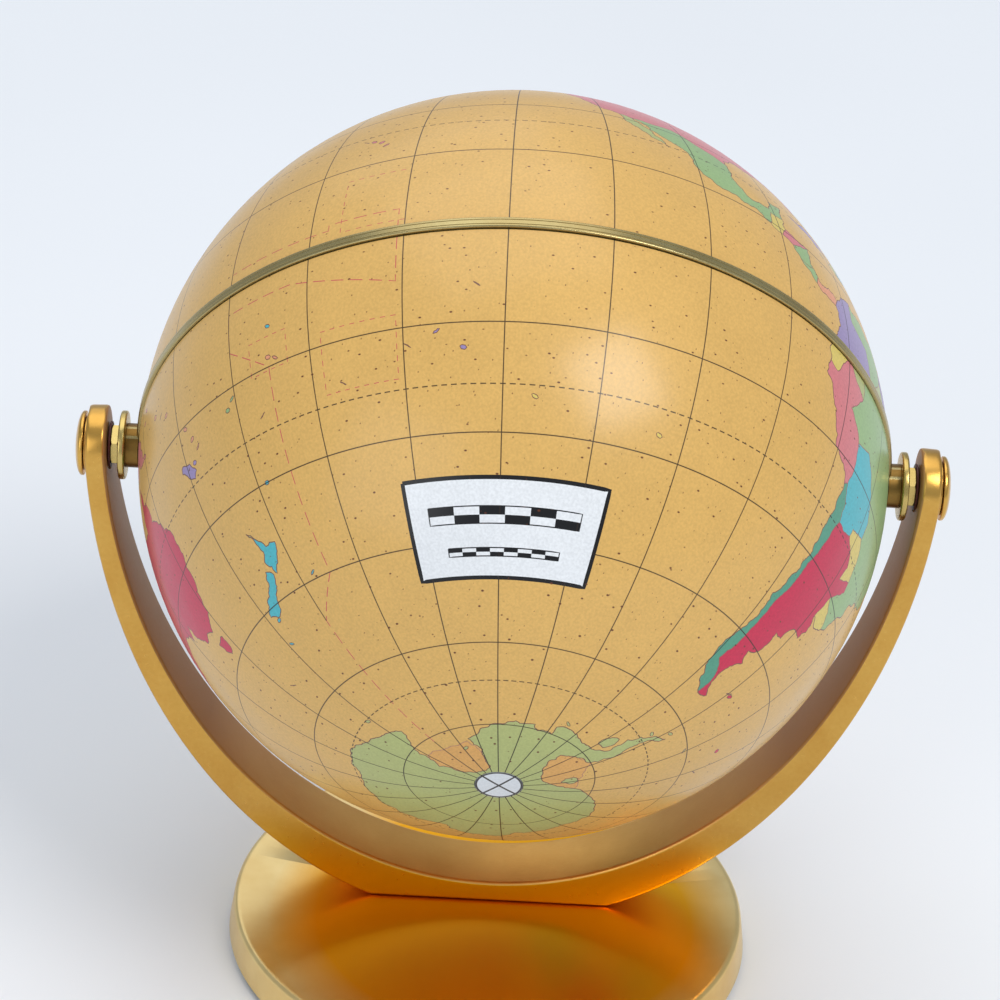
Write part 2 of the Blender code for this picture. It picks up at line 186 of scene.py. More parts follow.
TINTS = {
    "sea": tint(214, 170, 94),
    "shelf": tint(214, 160, 88),
    "shelf_line": tint(176, 120, 98),
    "coast": tint(116, 78, 66),
    "border": tint(140, 88, 78),
    "date_line": tint(196, 84, 84),
    "ink": tint(6, 5, 8),
    "white": tint(226, 228, 230),
    "plastic": tint(206, 204, 196),
    "olive": tint(172, 178, 112),
    "crimson": tint(196, 30, 70),
    "teal": tint(78, 148, 122),
    "cyan": tint(74, 176, 186),
    "pink": tint(208, 118, 122),
    "green": tint(146, 176, 118),
    "purple": tint(150, 132, 176),
    "yellow": tint(214, 190, 96),
    "salmon": tint(222, 150, 112),
}


# Helpers for shader nodes.

def new_material(name):
    """Make a material, and return it with its node tree and its shader."""
    mat = bpy.data.materials.new(name)
    mat.use_nodes = True
    return mat, mat.node_tree, mat.node_tree.nodes["Principled BSDF"]


def fill(tree, node, values):
    """Give a node's inputs, by name or number, plain values or links from other sockets."""
    for key, value in values.items():
        if isinstance(value, bpy.types.NodeSocket):
            tree.links.new(value, node.inputs[key])
        else:
            node.inputs[key].default_value = value


def add_node(tree, kind, values, **settings):
    """Add a node with some settings and filled inputs."""
    node = tree.nodes.new(kind)
    for key, setting in settings.items():
        setattr(node, key, setting)
    fill(tree, node, values)
    return node


def maths(tree, operation, first, second=0.0):
    return add_node(tree, "ShaderNodeMath", {0: first, 1: second}, operation=operation).outputs[0]


def product(tree, *factors):
    """Multiply any number of values."""
    result = factors[0]
    for factor in factors[1:]:
        result = maths(tree, "MULTIPLY", result, factor)
    return result


def vector_maths(tree, operation, first, second=(0.0, 0.0, 0.0)):
    node = add_node(tree, "ShaderNodeVectorMath", {0: first, 1: second}, operation=operation)
    return node.outputs["Value" if operation == "LENGTH" else "Vector"]


def distance_from_axis(tree, place):
    """Distance from the Z axis of the frame a place is given in."""
    return vector_maths(tree, "LENGTH", vector_maths(tree, "MULTIPLY", place, (1.0, 1.0, 0.0)))


def split(tree, place):
    """The X, Y and Z of a place, by name."""
    return add_node(tree, "ShaderNodeSeparateXYZ", {0: place}).outputs


def attribute(tree, name):
    """The outputs of an attribute that the mesh carries."""
    return add_node(tree, "ShaderNodeAttribute", {}, attribute_name=name).outputs


def ramp(tree, value, low, high, to_low=0.0, to_high=1.0):
    """Turn a range of values into another, held at its ends."""
    values = {"Value": value, "From Min": low, "From Max": high, "To Min": to_low, "To Max": to_high}
    return add_node(tree, "ShaderNodeMapRange", values).outputs["Result"]


def noise(tree, place, scale, detail, roughness):
    values = {"Vector": place, "Scale": scale, "Detail": detail, "Roughness": roughness}
    return add_node(tree, "ShaderNodeTexNoise", values).outputs["Fac"]


def blend_colours(tree, share, first, second):
    """Mix two colours, each a socket or plain red, green and blue."""
    values = {"Factor": share}
    # The node's colour sockets share their names with its others, so they go by number.
    for number, colour in ((6, first), (7, second)):
        values[number] = (*colour, 1.0) if isinstance(colour, tuple) else colour
    return add_node(tree, "ShaderNodeMix", values, data_type="RGBA").outputs[2]


def mottled(tree, share, colour, dark_shares):
    """Blend a colour with a darker one, given as shares of its red, green and blue."""
    dark = tuple(part * kept for part, kept in zip(colour, dark_shares))
    return blend_colours(tree, share, colour, dark)


def object_place(tree):
    """Place on the object in millimetres, in the frame that the whole part shares."""
    place = add_node(tree, "ShaderNodeTexCoord", {}).outputs["Object"]
    scaled = add_node(tree, "ShaderNodeVectorMath", {0: place, "Scale": 1 / MM}, operation="SCALE")
    return scaled.outputs[0]


def relief(tree, height, depth, strength=1.0):
    """Fine relief for a shader's normal, with its depth in millimetres."""
    values = {"Height": height, "Distance": depth * MM, "Strength": strength}
    return add_node(tree, "ShaderNodeBump", values).outputs["Normal"]


def colour_over(mat, share, colour):
    """Blend a colour over the one that a material already has."""
    tree = mat.node_tree
    shader = tree.nodes["Principled BSDF"]
    below = shader.inputs["Base Color"].links[0].from_socket
    fill(tree, shader, {"Base Color": blend_colours(tree, share, below, colour)})


# Metals.

def metal(name, colour, roughness, streak=(1.0, 1.0, 1.0), grain=0.002, tarnish=0.25, spread=0.08):
    """Metal with fine grain.  The grain is drawn out along an axis where its streak number is small."""
    mat, tree, shader = new_material(name)
    place = object_place(tree)
    fine = noise(tree, vector_maths(tree, "MULTIPLY", place, streak), 6.0, 3.0, 0.6)
    clouds = ramp(tree, noise(tree, place, 0.12, 3.0, 0.55), 0.3, 0.75, 0.0, 0.7)
    marks = ramp(tree, noise(tree, place, 1.3, 4.0, 0.7), 0.4, 0.8, 0.0, spread * 0.7)
    shade = maths(tree, "ADD", clouds, ramp(tree, fine, 0.3, 0.7, 0.0, 0.3))
    uneven = maths(tree, "ADD", ramp(tree, fine, 0.25, 0.75, -spread, spread), marks)
    fill(tree, shader, {
        "Base Color": mottled(tree, shade, colour, (1 - tarnish * 0.6, 1 - tarnish, 1 - tarnish * 1.5)),
        "Metallic": 1.0,
        "Roughness": maths(tree, "ADD", uneven, roughness),
        "Normal": relief(tree, fine, grain),
    })
    return mat


def turned_metal(name, colour, roughness, spread=0.06, lines=7.0, depth=0.0015):
    """Metal with the fine rings that a lathe leaves, which follow the mesh's own turned distance."""
    mat, tree, shader = new_material(name)
    place = object_place(tree)
    values = {"W": attribute(tree, "turned_mm")["Fac"], "Scale": lines, "Detail": 4.0, "Roughness": 0.65}
    wave = add_node(tree, "ShaderNodeTexNoise", values, noise_dimensions="1D").outputs["Fac"]
    clouds = ramp(tree, noise(tree, place, 0.15, 3.0, 0.55), 0.3, 0.75, 0.0, 0.8)
    marks = ramp(tree, noise(tree, place, 1.6, 4.0, 0.7), 0.4, 0.8, 0.0, spread)
    uneven = maths(tree, "ADD", ramp(tree, wave, 0.3, 0.7, -spread, spread), marks)
    fill(tree, shader, {
        "Base Color": mottled(tree, clouds, colour, (0.86, 0.78, 0.66)),
        "Metallic": 1.0,
        "Roughness": maths(tree, "ADD", uneven, roughness),
        "Normal": relief(tree, wave, depth),
    })
    return mat


def base_gold():
    """Turned cover, with a painted reflection in deeper gold over its middle than round its edge."""
    mat = turned_metal("base_gold", BASE_GOLD, 0.3, spread=0.02, lines=3.0, depth=0.0004)
    tree = mat.node_tree
    # Painted reflection: round a point a little off the base's middle, a deeper gold that fades out
    # between 28 and 35.5 mm.
    reflection_middle = BASE_CENTRE / MM + Vector((2.5, -4.5, 0.0))
    from_middle = vector_maths(tree, "SUBTRACT", object_place(tree), tuple(reflection_middle))
    deep = ramp(tree, distance_from_axis(tree, from_middle), 28.0, 35.5, 1.0, 0.0)
    colour_over(mat, deep, BASE_REFLECTION_GOLD)
    return mat


# Draws the grain out along the fork's band, which runs in X and Z.
ALONG_BAND = (0.25, 3.0, 0.25)


def brushed_gold():
    """Brushed outside of the fork, with a painted reflection of the base: a deeper gold towards its foot.
    """
    mat = metal("brushed_gold", GOLD, 0.3, ALONG_BAND, spread=0.05)
    tree = mat.node_tree
    height = split(tree, object_place(tree))["Z"]
    # Painted reflection: deeper gold up to 9 mm, fading out by 21 mm.
    colour_over(mat, ramp(tree, height, 9.0, 21.0, 1.0, 0.0), FOOT_REFLECTION_GOLD)
    return mat


def inner_gold():
    """Unpolished inner face of the fork, bright in the bend, with painted shade up the arms where they
    face the ball.
    """
    mat = metal("inner_gold", INNER_GOLD, 0.36, ALONG_BAND)
    tree = mat.node_tree
    # Painted shade: darker and less metallic from 13 mm up to 34 mm, where the arms face the ball.
    arm_shade = ramp(tree, split(tree, object_place(tree))["Z"], 13.0, 34.0)
    colour_over(mat, arm_shade, INNER_SHADE_GOLD)
    fill(tree, tree.nodes["Principled BSDF"], {
        "Metallic": ramp(tree, arm_shade, 0.0, 1.0, 1.0, 0.15),
        "Specular IOR Level": 0.05,
    })
    return mat


def plain_stuff(name, colour, roughness, grain_scale, grain, mottle):
    """Plastic, fibre or foam: mottled, with a fine surface."""
    mat, tree, shader = new_material(name)
    place = object_place(tree)
    fine = noise(tree, place, grain_scale, 3.0, 0.6)
    clouds = ramp(tree, noise(tree, place, 0.4, 3.0, 0.6), 0.3, 0.7)
    fill(tree, shader, {
        "Base Color": mottled(tree, clouds, colour, (1 - mottle,) * 3),
        "Roughness": ramp(tree, fine, 0.3, 0.7, roughness - 0.06, roughness + 0.06),
        "Normal": relief(tree, fine, grain),
    })
    return mat


# The printed map.

def printed(length):
    """Turn a length on the ball's surface into degrees."""
    return degrees(length / GLOBE_R)


def line_mask(tree, distance, half_width, soft):
    """One on a printed line and nothing away from it, from the distance to its middle."""
    return ramp(tree, distance, half_width - soft, half_width + soft, 1.0, 0.0)


def repeat_distance(tree, angle, step):
    """Distance, in degrees, from an angle to the nearest whole number of steps."""
    share = maths(tree, "FRACT", maths(tree, "ADD", maths(tree, "DIVIDE", angle, step), 100.5))
    return product(tree, maths(tree, "ABSOLUTE", maths(tree, "SUBTRACT", share, 0.5)), step)


def graticule_mask(tree, place, lat, lon):
    """Meridians and parallels every 15 degrees, with dashed tropics and polar circles.

    The southern end of the date line takes the place of the meridian it runs along.
    """
    half, soft = printed(0.075 * MM), printed(0.035 * MM)
    meridians = product(tree, repeat_distance(tree, lon, 15.0), distance_from_axis(tree, place))
    (_, date_line_end), (_, date_line_turn) = DATE_LINE[:2]
    on_date_line = product(
        tree,
        maths(tree, "GREATER_THAN", maths(tree, "ABSOLUTE", lon), 179.0),
        maths(tree, "LESS_THAN", lat, date_line_turn),
        maths(tree, "GREATER_THAN", lat, date_line_end),
    )
    meridians = maths(tree, "MAXIMUM", meridians, on_date_line)
    nearest = maths(tree, "MINIMUM", meridians, repeat_distance(tree, lat, 15.0))
    solid = line_mask(tree, nearest, half, soft)
    from_equator = maths(tree, "ABSOLUTE", lat)
    broken = []
    for parallel, dash_step, dash_half in ((23.5, 1.5, 0.45), (66.5, 3.0, 0.95)):
        away = maths(tree, "ABSOLUTE", maths(tree, "SUBTRACT", from_equator, parallel))
        dashes = maths(tree, "LESS_THAN", repeat_distance(tree, lon, dash_step), dash_half)
        broken.append(product(tree, line_mask(tree, away, half, soft), dashes))
    return maths(tree, "MAXIMUM", solid, maths(tree, "ADD", *broken))


def speck_mask(tree, place, spacing, size, stretch):
    """Scattered small dark specks, as the antique paper has, on four in five places."""
    drawn = vector_maths(tree, "MULTIPLY", place, stretch)
    values = {"Vector": drawn, "Scale": GLOBE_R / spacing, "Randomness": 1.0}
    cells = add_node(tree, "ShaderNodeTexVoronoi", values).outputs
    chance = add_node(tree, "ShaderNodeSeparateColor", {0: cells["Color"]}).outputs[0]
    spot = ramp(tree, cells["Distance"], size * 0.6 / spacing, size / spacing, 1.0, 0.0)
    return product(tree, spot, maths(tree, "LESS_THAN", chance, 0.8))


def printed_map():
    """Antique map under satin varnish: the faces' printed tints, the graticule, specks and print dots."""
    mat, tree, shader = new_material("printed_map")
    colour = attribute(tree, "map_colour")["Color"]
    place = vector_maths(tree, "NORMALIZE", attribute(tree, "map_place")["Vector"])
    parts = split(tree, place)
    lat = maths(tree, "DEGREES", maths(tree, "ARCSINE", parts["Z"]))
    lon = maths(tree, "DEGREES", maths(tree, "ARCTAN2", parts["Y"], parts["X"]))

    clouds = noise(tree, place, 2.2, 4.0, 0.6)
    blotches = noise(tree, place, 11.0, 4.0, 0.65)
    dots = noise(tree, place, GLOBE_R / (0.35 * MM), 1.0, 0.5)
    tone = maths(tree, "ADD", ramp(tree, clouds, 0.25, 0.75, 0.955, 1.03),
                 ramp(tree, blotches, 0.3, 0.7, -0.022, 0.022))
    tone = maths(tree, "ADD", tone, ramp(tree, dots, 0.3, 0.7, -0.065, 0.065))
    grey = add_node(tree, "ShaderNodeCombineXYZ", {0: tone, 1: tone, 2: tone}).outputs[0]
    toned = vector_maths(tree, "MULTIPLY", colour, grey)

    brightness = add_node(tree, "ShaderNodeRGBToBW", {0: colour}).outputs[0]
    not_panel = maths(tree, "LESS_THAN", brightness, 0.7)
    grid = product(tree, graticule_mask(tree, place, lat, lon), not_panel, 0.96)
    inked = blend_colours(tree, grid, toned, GRID_INK)
    large = speck_mask(tree, place, 2.0 * MM, 0.24 * MM, (1.0, 1.0, 1.7))
    small = speck_mask(tree, place, 1.4 * MM, 0.15 * MM, (1.6, 1.0, 1.0))
    specks = maths(tree, "ADD", product(tree, large, 0.95), product(tree, small, 0.7))
    fill(tree, shader, {
        "Base Color": blend_colours(tree, product(tree, specks, not_panel), inked, SPECK_INK),
        "Roughness": ramp(tree, blotches, 0.3, 0.7, 0.44, 0.56),
        "Specular IOR Level": 0.15,
        "Coat Weight": 0.6,
        "Coat Roughness": 0.24,
        "Normal": relief(tree, noise(tree, place, 26.0, 2.0, 0.5), 0.01, 0.6),
    })
    return mat


def cap_material():
    """White disc with a thin dark rim and a thin dark cross."""
    mat, tree, shader = new_material("pole_disc")
    place = attribute(tree, "cap_place")["Vector"]
    values = {"Vector": place, "Angle": radians(SPIN_AT_REST)}
    turned = add_node(tree, "ShaderNodeVectorRotate", values, rotation_type="Z_AXIS").outputs[0]
    parts = split(tree, turned)
    across, along = (maths(tree, "ABSOLUTE", parts[axis]) for axis in "XY")
    rim = maths(tree, "ABSOLUTE", maths(tree, "SUBTRACT", distance_from_axis(tree, place), 3.05))
    cross = line_mask(tree, maths(tree, "MINIMUM", across, along), 0.15, 0.03)
    ink = maths(tree, "MAXIMUM", cross, line_mask(tree, rim, 0.14, 0.03))
    speckle = noise(tree, place, 3.0, 3.0, 0.6)
    paper = blend_colours(tree, ramp(tree, speckle, 0.3, 0.7), CAP_WHITE, CAP_GREY)
    fill(tree, shader, {
        "Base Color": blend_colours(tree, ink, paper, TINTS["ink"]),
        "Roughness": ramp(tree, speckle, 0.3, 0.7, 0.36, 0.46),
        "Coat Weight": 0.5,
        "Coat Roughness": 0.2,
    })
    return mat


def floor_material():
    """Pale paper, very faintly clouded."""
    mat, tree, shader = new_material("floor_paper")
    soft = ramp(tree, noise(tree, object_place(tree), 0.004, 2.0, 0.5), 0.3, 0.7)
    fill(tree, shader, {
        "Base Color": blend_colours(tree, soft, FLOOR_WHITE, FLOOR_GREY),
        "Roughness": 0.75,
        "Specular IOR Level": 0.2,
    })
    return mat


def make_materials():
    """Every material of the object, by the name that the pieces ask for it."""
    return {
        "base_gold": base_gold(),
        "turned_gold": turned_metal("turned_gold", GOLD, 0.24),
        "bush_gold": turned_metal("bush_gold", BUSH_GOLD, 0.26),
        "brushed_gold": brushed_gold(),
        "inner_gold": inner_gold(),
        "ring_gold": metal("ring_gold", RING_GOLD, 0.28, grain=0.001),
        "boss_shaded_gold": metal("boss_shaded_gold", BOSS_SHADE_GOLD, 0.36, grain=0.001),
        "steel": metal("zinc_steel", STEEL, 0.32, tarnish=0.1),
        "iron": metal("cast_iron", IRON, 0.6, grain=0.03, tarnish=0.3),
        "foam": plain_stuff("foam_sheet", FOAM, 0.9, 3.5, 0.06, 0.3),
        "fibre": plain_stuff("red_fibre", FIBRE, 0.5, 2.5, 0.02, 0.3),
        "nylon": plain_stuff("nylon", NYLON, 0.42, 1.5, 0.005, 0.06),
        "cap": cap_material(),
        "map": printed_map(),
    }


# Mesh helpers.

UPRIGHT = Matrix.Identity(4)


def new_piece(name, mesh, materials, body, node):
    """Put a finished mesh in the scene, where it stands for a CAD node and moves with a body."""
    obj = bpy.data.objects.new(name, mesh)
    bpy.context.scene.collection.objects.link(obj)
    mesh.materials.clear()
    for mat in materials:
        mesh.materials.append(mat)
    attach(obj, body)
    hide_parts(node)


def shade(mesh, sharp=40):
    """Shade a mesh smooth, except over edges that bend by more than an angle in degrees."""
    mesh.shade_smooth()
    mesh.set_sharp_from_angle(angle=radians(sharp))


def finish(name, bm, place=UPRIGHT, sharp=40):
    """Turn a bmesh into a shaded mesh in its place."""
    bmesh.ops.recalc_face_normals(bm, faces=bm.faces)
    mesh = bpy.data.meshes.new(name)
    bm.to_mesh(mesh)
    bm.free()
    mesh.transform(place)
    shade(mesh, sharp)
    return mesh


def skin(bm, sections):
    """Join sections, which all have as many points, with four-sided faces, and close both ends."""
    loops = [[bm.verts.new(point) for point in section] for section in sections]
    for near, far in zip(loops, loops[1:]):
        for i in range(len(near)):
            j = (i + 1) % len(near)
            bm.faces.new((near[i], near[j], far[j], far[i]))
    bm.faces.new(loops[0])
    bm.faces.new(loops[-1])


def rounded_profile(corners, steps):
    """Round the corners of a profile of (radius, height, rounding)."""
    points = []
    for i, (radius, height, rounding) in enumerate(corners):
        here = Vector((radius, height))
        if rounding == 0:
            points.append(here)
            continue
        before = Vector(corners[i - 1][:2])
        after = Vector(corners[(i + 1) % len(corners)][:2])
        start = here + (before - here).normalized() * rounding
        end = here + (after - here).normalized() * rounding
        for step in range(steps + 1):
            share = step / steps
            points.append(start.lerp(here, share).lerp(here.lerp(end, share), share))
    return points


def lathe(name, corners, place, segments=96, closed=True, steps=4):
    """Turn a rounded profile about the Z axis of a place.  Its points know how far along they are.

    A profile that is not closed starts and ends on the axis.
    """
    profile = rounded_profile(corners, steps)
    bm = bmesh.new()
    along = bm.verts.layers.float.new("turned_mm")
    rings = []
    travelled = 0.0
    for i, point in enumerate(profile):
        if i:
            travelled += (point - profile[i - 1]).length / MM
        count = 1 if point.x < 1e-9 else segments
        ring = []
        for k in range(count):
            turn = 2 * pi * k / segments
            vert = bm.verts.new((point.x * cos(turn), point.x * sin(turn), point.y))
            vert[along] = travelled
            ring.append(vert)
        rings.append(ring)
    pairs = list(zip(rings, rings[1:]))
    if closed:
        pairs.append((rings[-1], rings[0]))
    for low, high in pairs:
        for k in range(segments):
            j = (k + 1) % segments
            around = [low[k % len(low)], low[j % len(low)], high[j % len(high)], high[k % len(high)]]
            bm.faces.new(list(dict.fromkeys(around)))
    return finish(name, bm, place)


def rod(name, radius, low, high, place=UPRIGHT, segments=48):
    """Plain cylinder along the Z axis of a place."""
    corners = [(0, low, 0), (radius, low, 0), (radius, high, 0), (0, high, 0)]
    return lathe(name, corners, place, segments, closed=False)


def with_tools(mesh, tools):
    """Cut or join tool meshes, given as (operation, mesh), and return the new mesh."""
    obj = bpy.data.objects.new("work", mesh)
    bpy.context.scene.collection.objects.link(obj)
    helpers = []
    for operation, tool_mesh in tools:
        helper = bpy.data.objects.new("tool", tool_mesh)
        bpy.context.scene.collection.objects.link(helper)
        helpers.append(helper)
        boolean = obj.modifiers.new(operation, "BOOLEAN")
        boolean.operation = operation
        boolean.solver = "EXACT"
        boolean.object = helper
    bpy.context.view_layer.update()
    solid = bpy.data.meshes.new_from_object(obj.evaluated_get(bpy.context.evaluated_depsgraph_get()))
    for helper in helpers + [obj]:
        bpy.data.objects.remove(helper)
    solid.name = mesh.name
    return solid


# Along each end of the swing axis, with Z pointing outwards from the ball's centre.
PIVOT_PLACES = {
    side: Matrix.Translation(CENTRE) @ Matrix.Rotation(turn, 4, "Y")
    for side, turn in (("L", -pi / 2), ("R", pi / 2))
}


# Base and fork.

def fork_screw_holes(name, radius, top):
    """Cutters for the two screws that come up through the base into the fork."""
    return [
        ("DIFFERENCE", rod(name, radius, 0, top, Matrix.Translation((x, 0, 0))))
        for x in (-FORK_SCREW_X, FORK_SCREW_X)
    ]


def build_base(mats):
    """Pressed cover with a rounded edge and a flared foot, and the pad under it."""
    low = BASE_LOW.z
    corners = [
        (0, BASE_TOP - BASE_SHEET, 0),
        (BASE_TOP_R - BASE_SHEET, BASE_TOP - BASE_SHEET, 0.4 * MM),
        (BASE_RIM_R - BASE_SHEET, low, 0.1 * MM),
        (BASE_RIM_R, low, 0.3 * MM),
        (BASE_TOP_R + 0.45 * MM, BASE_TOP, 0.9 * MM),
        (0, BASE_TOP, 0),
    ]
    place = Matrix.Translation(BASE_CENTRE)
    cover = lathe("base_cover", corners, place, 160, closed=False, steps=5)
    cover = with_tools(cover, fork_screw_holes("hole", FORK_SCREW_R + HOLE_GAP, 2 * BASE_TOP))
    new_piece("base_cover", cover, [mats["base_gold"]], "stand", "base_shell")

    pad_low, pad_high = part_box("base_pad")
    radius = (pad_high.x - pad_low.x) / 2
    corners = [(0, 0, 0), (radius, 0, 0.25 * MM), (radius, pad_high.z, 0.15 * MM), (0, pad_high.z, 0)]
    pad = lathe("foam_pad", corners, place, 128, closed=False)
    new_piece("foam_pad", pad, [mats["foam"]], "stand", "base_pad")


def fork_angles(end_steps=14, bend_steps=110):
    """Angles along the band: close together over its round ends, and even from pivot to pivot."""
    rises = [FORK_HALF_WIDTH * cos(pi / 2 * i / end_steps) for i in range(end_steps)]
    ends = [asin((FORK_CENTRE_RISE - rise) / FORK_OUTER[1]) for rise in rises]
    start = asin(FORK_CENTRE_RISE / FORK_OUTER[1])
    bend = [start + (pi - 2 * start) * i / bend_steps for i in range(bend_steps + 1)]
    return ends + bend + [pi - angle for angle in reversed(ends)]


def rounded_section(deep_low, deep_high, half, edge, steps=5):
    """Points round a section of the band, as (distance in from its outer face, distance across)."""
    quarters = [
        (deep_low + edge, -half + edge, pi), (deep_high - edge, -half + edge, 1.5 * pi),
        (deep_high - edge, half - edge, 0), (deep_low + edge, half - edge, 0.5 * pi),
    ]
    points = []
    for deep, across, start in quarters:
        turns = [start + pi / 2 * i / steps for i in range(steps + 1)]
        points += [(deep + edge * cos(turn), across + edge * sin(turn)) for turn in turns]
    return points


def fork_section(angle):
    """Points round the band at one of its angles, from the ball's centre."""
    outer, inner = (
        Vector((-across * cos(angle), 0, FORK_CENTRE_RISE - down * sin(angle)))
        for across, down in (FORK_OUTER, FORK_INNER)
    )
    outer.z = max(outer.z, FORK_FOOT_Z - CENTRE.z)
    outer.x = max(-FORK_END_OUT, min(FORK_END_OUT, outer.x))
    rise = max(outer.z, 0.0)
    half = sqrt(max(FORK_HALF_WIDTH ** 2 - rise ** 2, (0.1 * MM) ** 2))
    short = max(FORK_EDGE - (FORK_HALF_WIDTH - rise), 0.0)
    squeeze = FORK_EDGE - sqrt(FORK_EDGE ** 2 - short ** 2)
    thick = (inner - outer).length - squeeze
    edge = min(FORK_EDGE, half * 0.8, (thick - squeeze) * 0.45)
    inward = (inner - outer).normalized()
    return [outer + inward * deep + Vector((0, across, 0))
            for deep, across in rounded_section(squeeze, thick, half, edge)]


def build_fork(mats):
    """Bent band with softened edges and round ends, cut flat where it stands on the base."""
    bm = bmesh.new()
    skin(bm, [fork_section(angle) for angle in fork_angles()])
    band = finish("fork_band", bm, Matrix.Translation(CENTRE), 50)
    reach = 2 * FORK_END_OUT
    seat_end = FORK_END_IN + 0.03 * MM
    hole_r = SHANK_R + HOLE_GAP
    pivot_cut = [
        (0, -reach, 0), (hole_r, -reach, 0), (hole_r, -seat_end, 0), (WASHER_SEAT_R, -seat_end, 0),
        (WASHER_SEAT_R, seat_end, 0), (hole_r, seat_end, 0), (hole_r, reach, 0), (0, reach, 0),
    ]
    tools = [("DIFFERENCE", lathe("pivot_cut", pivot_cut, PIVOT_PLACES["R"], 50, closed=False))]
    tools += fork_screw_holes("tapped_hole", FORK_SCREW_R, BASE_TOP + 3.0 * MM)
    band = with_tools(band, tools)
    shade(band)
    looks = [mats["brushed_gold"], mats["inner_gold"]]
    new_piece("fork_band", band, looks, "stand", "fork")
    # Faces turned towards the ball take the inner material, with its painted shade.
    for face in band.polygons:
        towards_ball = face.normal.dot((CENTRE - face.center).normalized())
        face.material_index = 1 if towards_ball > 0.35 else 0


# Pivots.

def screw_corners():
    """Shank and domed head."""
    shank_in = RING_R + 0.25 * MM
    head_edge = HEAD_IN + 0.3 * MM
    dome_rise = HEAD_OUT - head_edge
    turns = [pi / 2 * i / 14 for i in range(14)]
    dome = [(HEAD_R * cos(turn), head_edge + dome_rise * sin(turn), 0) for turn in turns]
    return [
        (0, shank_in, 0), (SHANK_R, shank_in, 0.25 * MM), (SHANK_R, HEAD_IN, 0),
        (HEAD_R, HEAD_IN, 0.1 * MM), *dome, (0, HEAD_OUT, 0),
    ]


def bush_corners():
    """Sleeve in the ring's boss, with a flange outside it."""
    low, high = FLANGE_SPAN
    bore_r = SHANK_R + 0.05 * MM
    inner_end = RING_R + 0.15 * MM
    return [
        (bore_r, inner_end, 0), (BUSH_R, inner_end, 0.1 * MM), (BUSH_R, low, 0),
        (FLANGE_R, low, 0.3 * MM), (FLANGE_R, high, 0.3 * MM), (bore_r, high, 0.1 * MM),
    ]


def washer_corners(outer_r, span):
    """Flat washer round the shank, with softened outer edges."""
    low, high = span
    inner_r = SHANK_R + HOLE_GAP
    edge = (high - low) * 0.3
    return [(inner_r, low, 0), (outer_r, low, edge), (outer_r, high, edge), (inner_r, high, 0)]


def nut_mesh(name, place):
    """Hexagon with its corners turned off at both faces."""
    low, high = NUT_SPAN
    inner_r = SHANK_R + HOLE_GAP
    edge = 0.25 * MM
    cone = [
        (inner_r, low, 0), (NUT_CORNER_R - edge, low, 0), (NUT_CORNER_R, low + edge * 0.6, 0),
        (NUT_CORNER_R, high - edge * 0.6, 0), (NUT_CORNER_R - edge, high, 0), (inner_r, high, 0),
    ]
    outline = [(NUT_CORNER_R * cos(pi / 3 * i), NUT_CORNER_R * sin(pi / 3 * i)) for i in range(6)]
    bm = bmesh.new()
    skin(bm, [[(x, y, z) for x, y in outline] for z in (low - edge, high + edge)])
    nut = with_tools(lathe(name, cone, UPRIGHT, 72), [("INTERSECT", finish("hexagon", bm))])
    nut.transform(place)
    shade(nut, 25)
    return nut


def build_pivots(mats):
    """Screw, washers, nut and flanged bush at each end of the swing axis."""
    head_washer = washer_corners(HEAD_WASHER_R, HEAD_WASHER_SPAN)
    fork_washer = washer_corners(FORK_WASHER_R, FORK_WASHER_SPAN)
    turned = [
        ("pivot_screw", "domed_screw", screw_corners(), False, "turned_gold", "stand", "turned_gold"),
        ("pivot_bush", "flanged_bush", bush_corners(), True, "bush_gold", "gimbal", "turned_gold"),
        ("head_washer", "outer_washer", head_washer, True, "turned_gold", "stand", "turned_gold"),
        ("fork_washer", "inner_washer", fork_washer, True, "fibre", "stand", "fibre"),
    ]
    for side, place in PIVOT_PLACES.items():
        for node, name, corners, closed, mat, body, slot in turned:
            mesh = lathe(f"{name}_{side}", corners, place, 96, closed, 5)
            new_piece(f"{name}_{side}", mesh, [mats[mat]], body, f"{node}_{side}")
        nut = nut_mesh(f"hex_nut_{side}", place)
        new_piece(f"hex_nut_{side}", nut, [mats["bush_gold"]], "stand", f"lock_nut_{side}")


# Ring and ball.

def ring_corners():
    """Section of the ring: softened edges, a rib inside the ball and two grooves outside."""
    rib_in, rib_out = RING_RIB_R
    corners = [
        (rib_in, RING_RIB_HALF, 0.15 * MM), (rib_in, -RING_RIB_HALF, 0.15 * MM),
        (rib_out, -RING_RIB_HALF, 0.15 * MM), (rib_out, -RING_HALF, 0.1 * MM),
        (RING_R, -RING_HALF, 0.2 * MM),
    ]
    for middle in (-GROOVE_Z, GROOVE_Z):
        corners += [(RING_R, middle - GROOVE_HALF, 0), (RING_R - GROOVE_DEPTH, middle, 0),
                    (RING_R, middle + GROOVE_HALF, 0)]
    return corners + [
        (RING_R, RING_HALF, 0.2 * MM), (rib_out, RING_HALF, 0.1 * MM),
        (rib_out, RING_RIB_HALF, 0.15 * MM),
    ]


def cross_bar():
    """Bar from rib to rib, which carries the hub."""
    half = (sum(RING_RIB_R) / 2, BAR_HALF_WIDTH, BAR_HALF_THICK)
    bm = bmesh.new()
    bmesh.ops.create_cube(bm, size=2.0, matrix=Matrix.Diagonal((*half, 1.0)))
    bmesh.ops.bevel(bm, geom=bm.edges, offset=0.3 * MM, segments=2, affect="EDGES")
    return finish("cross_bar", bm)


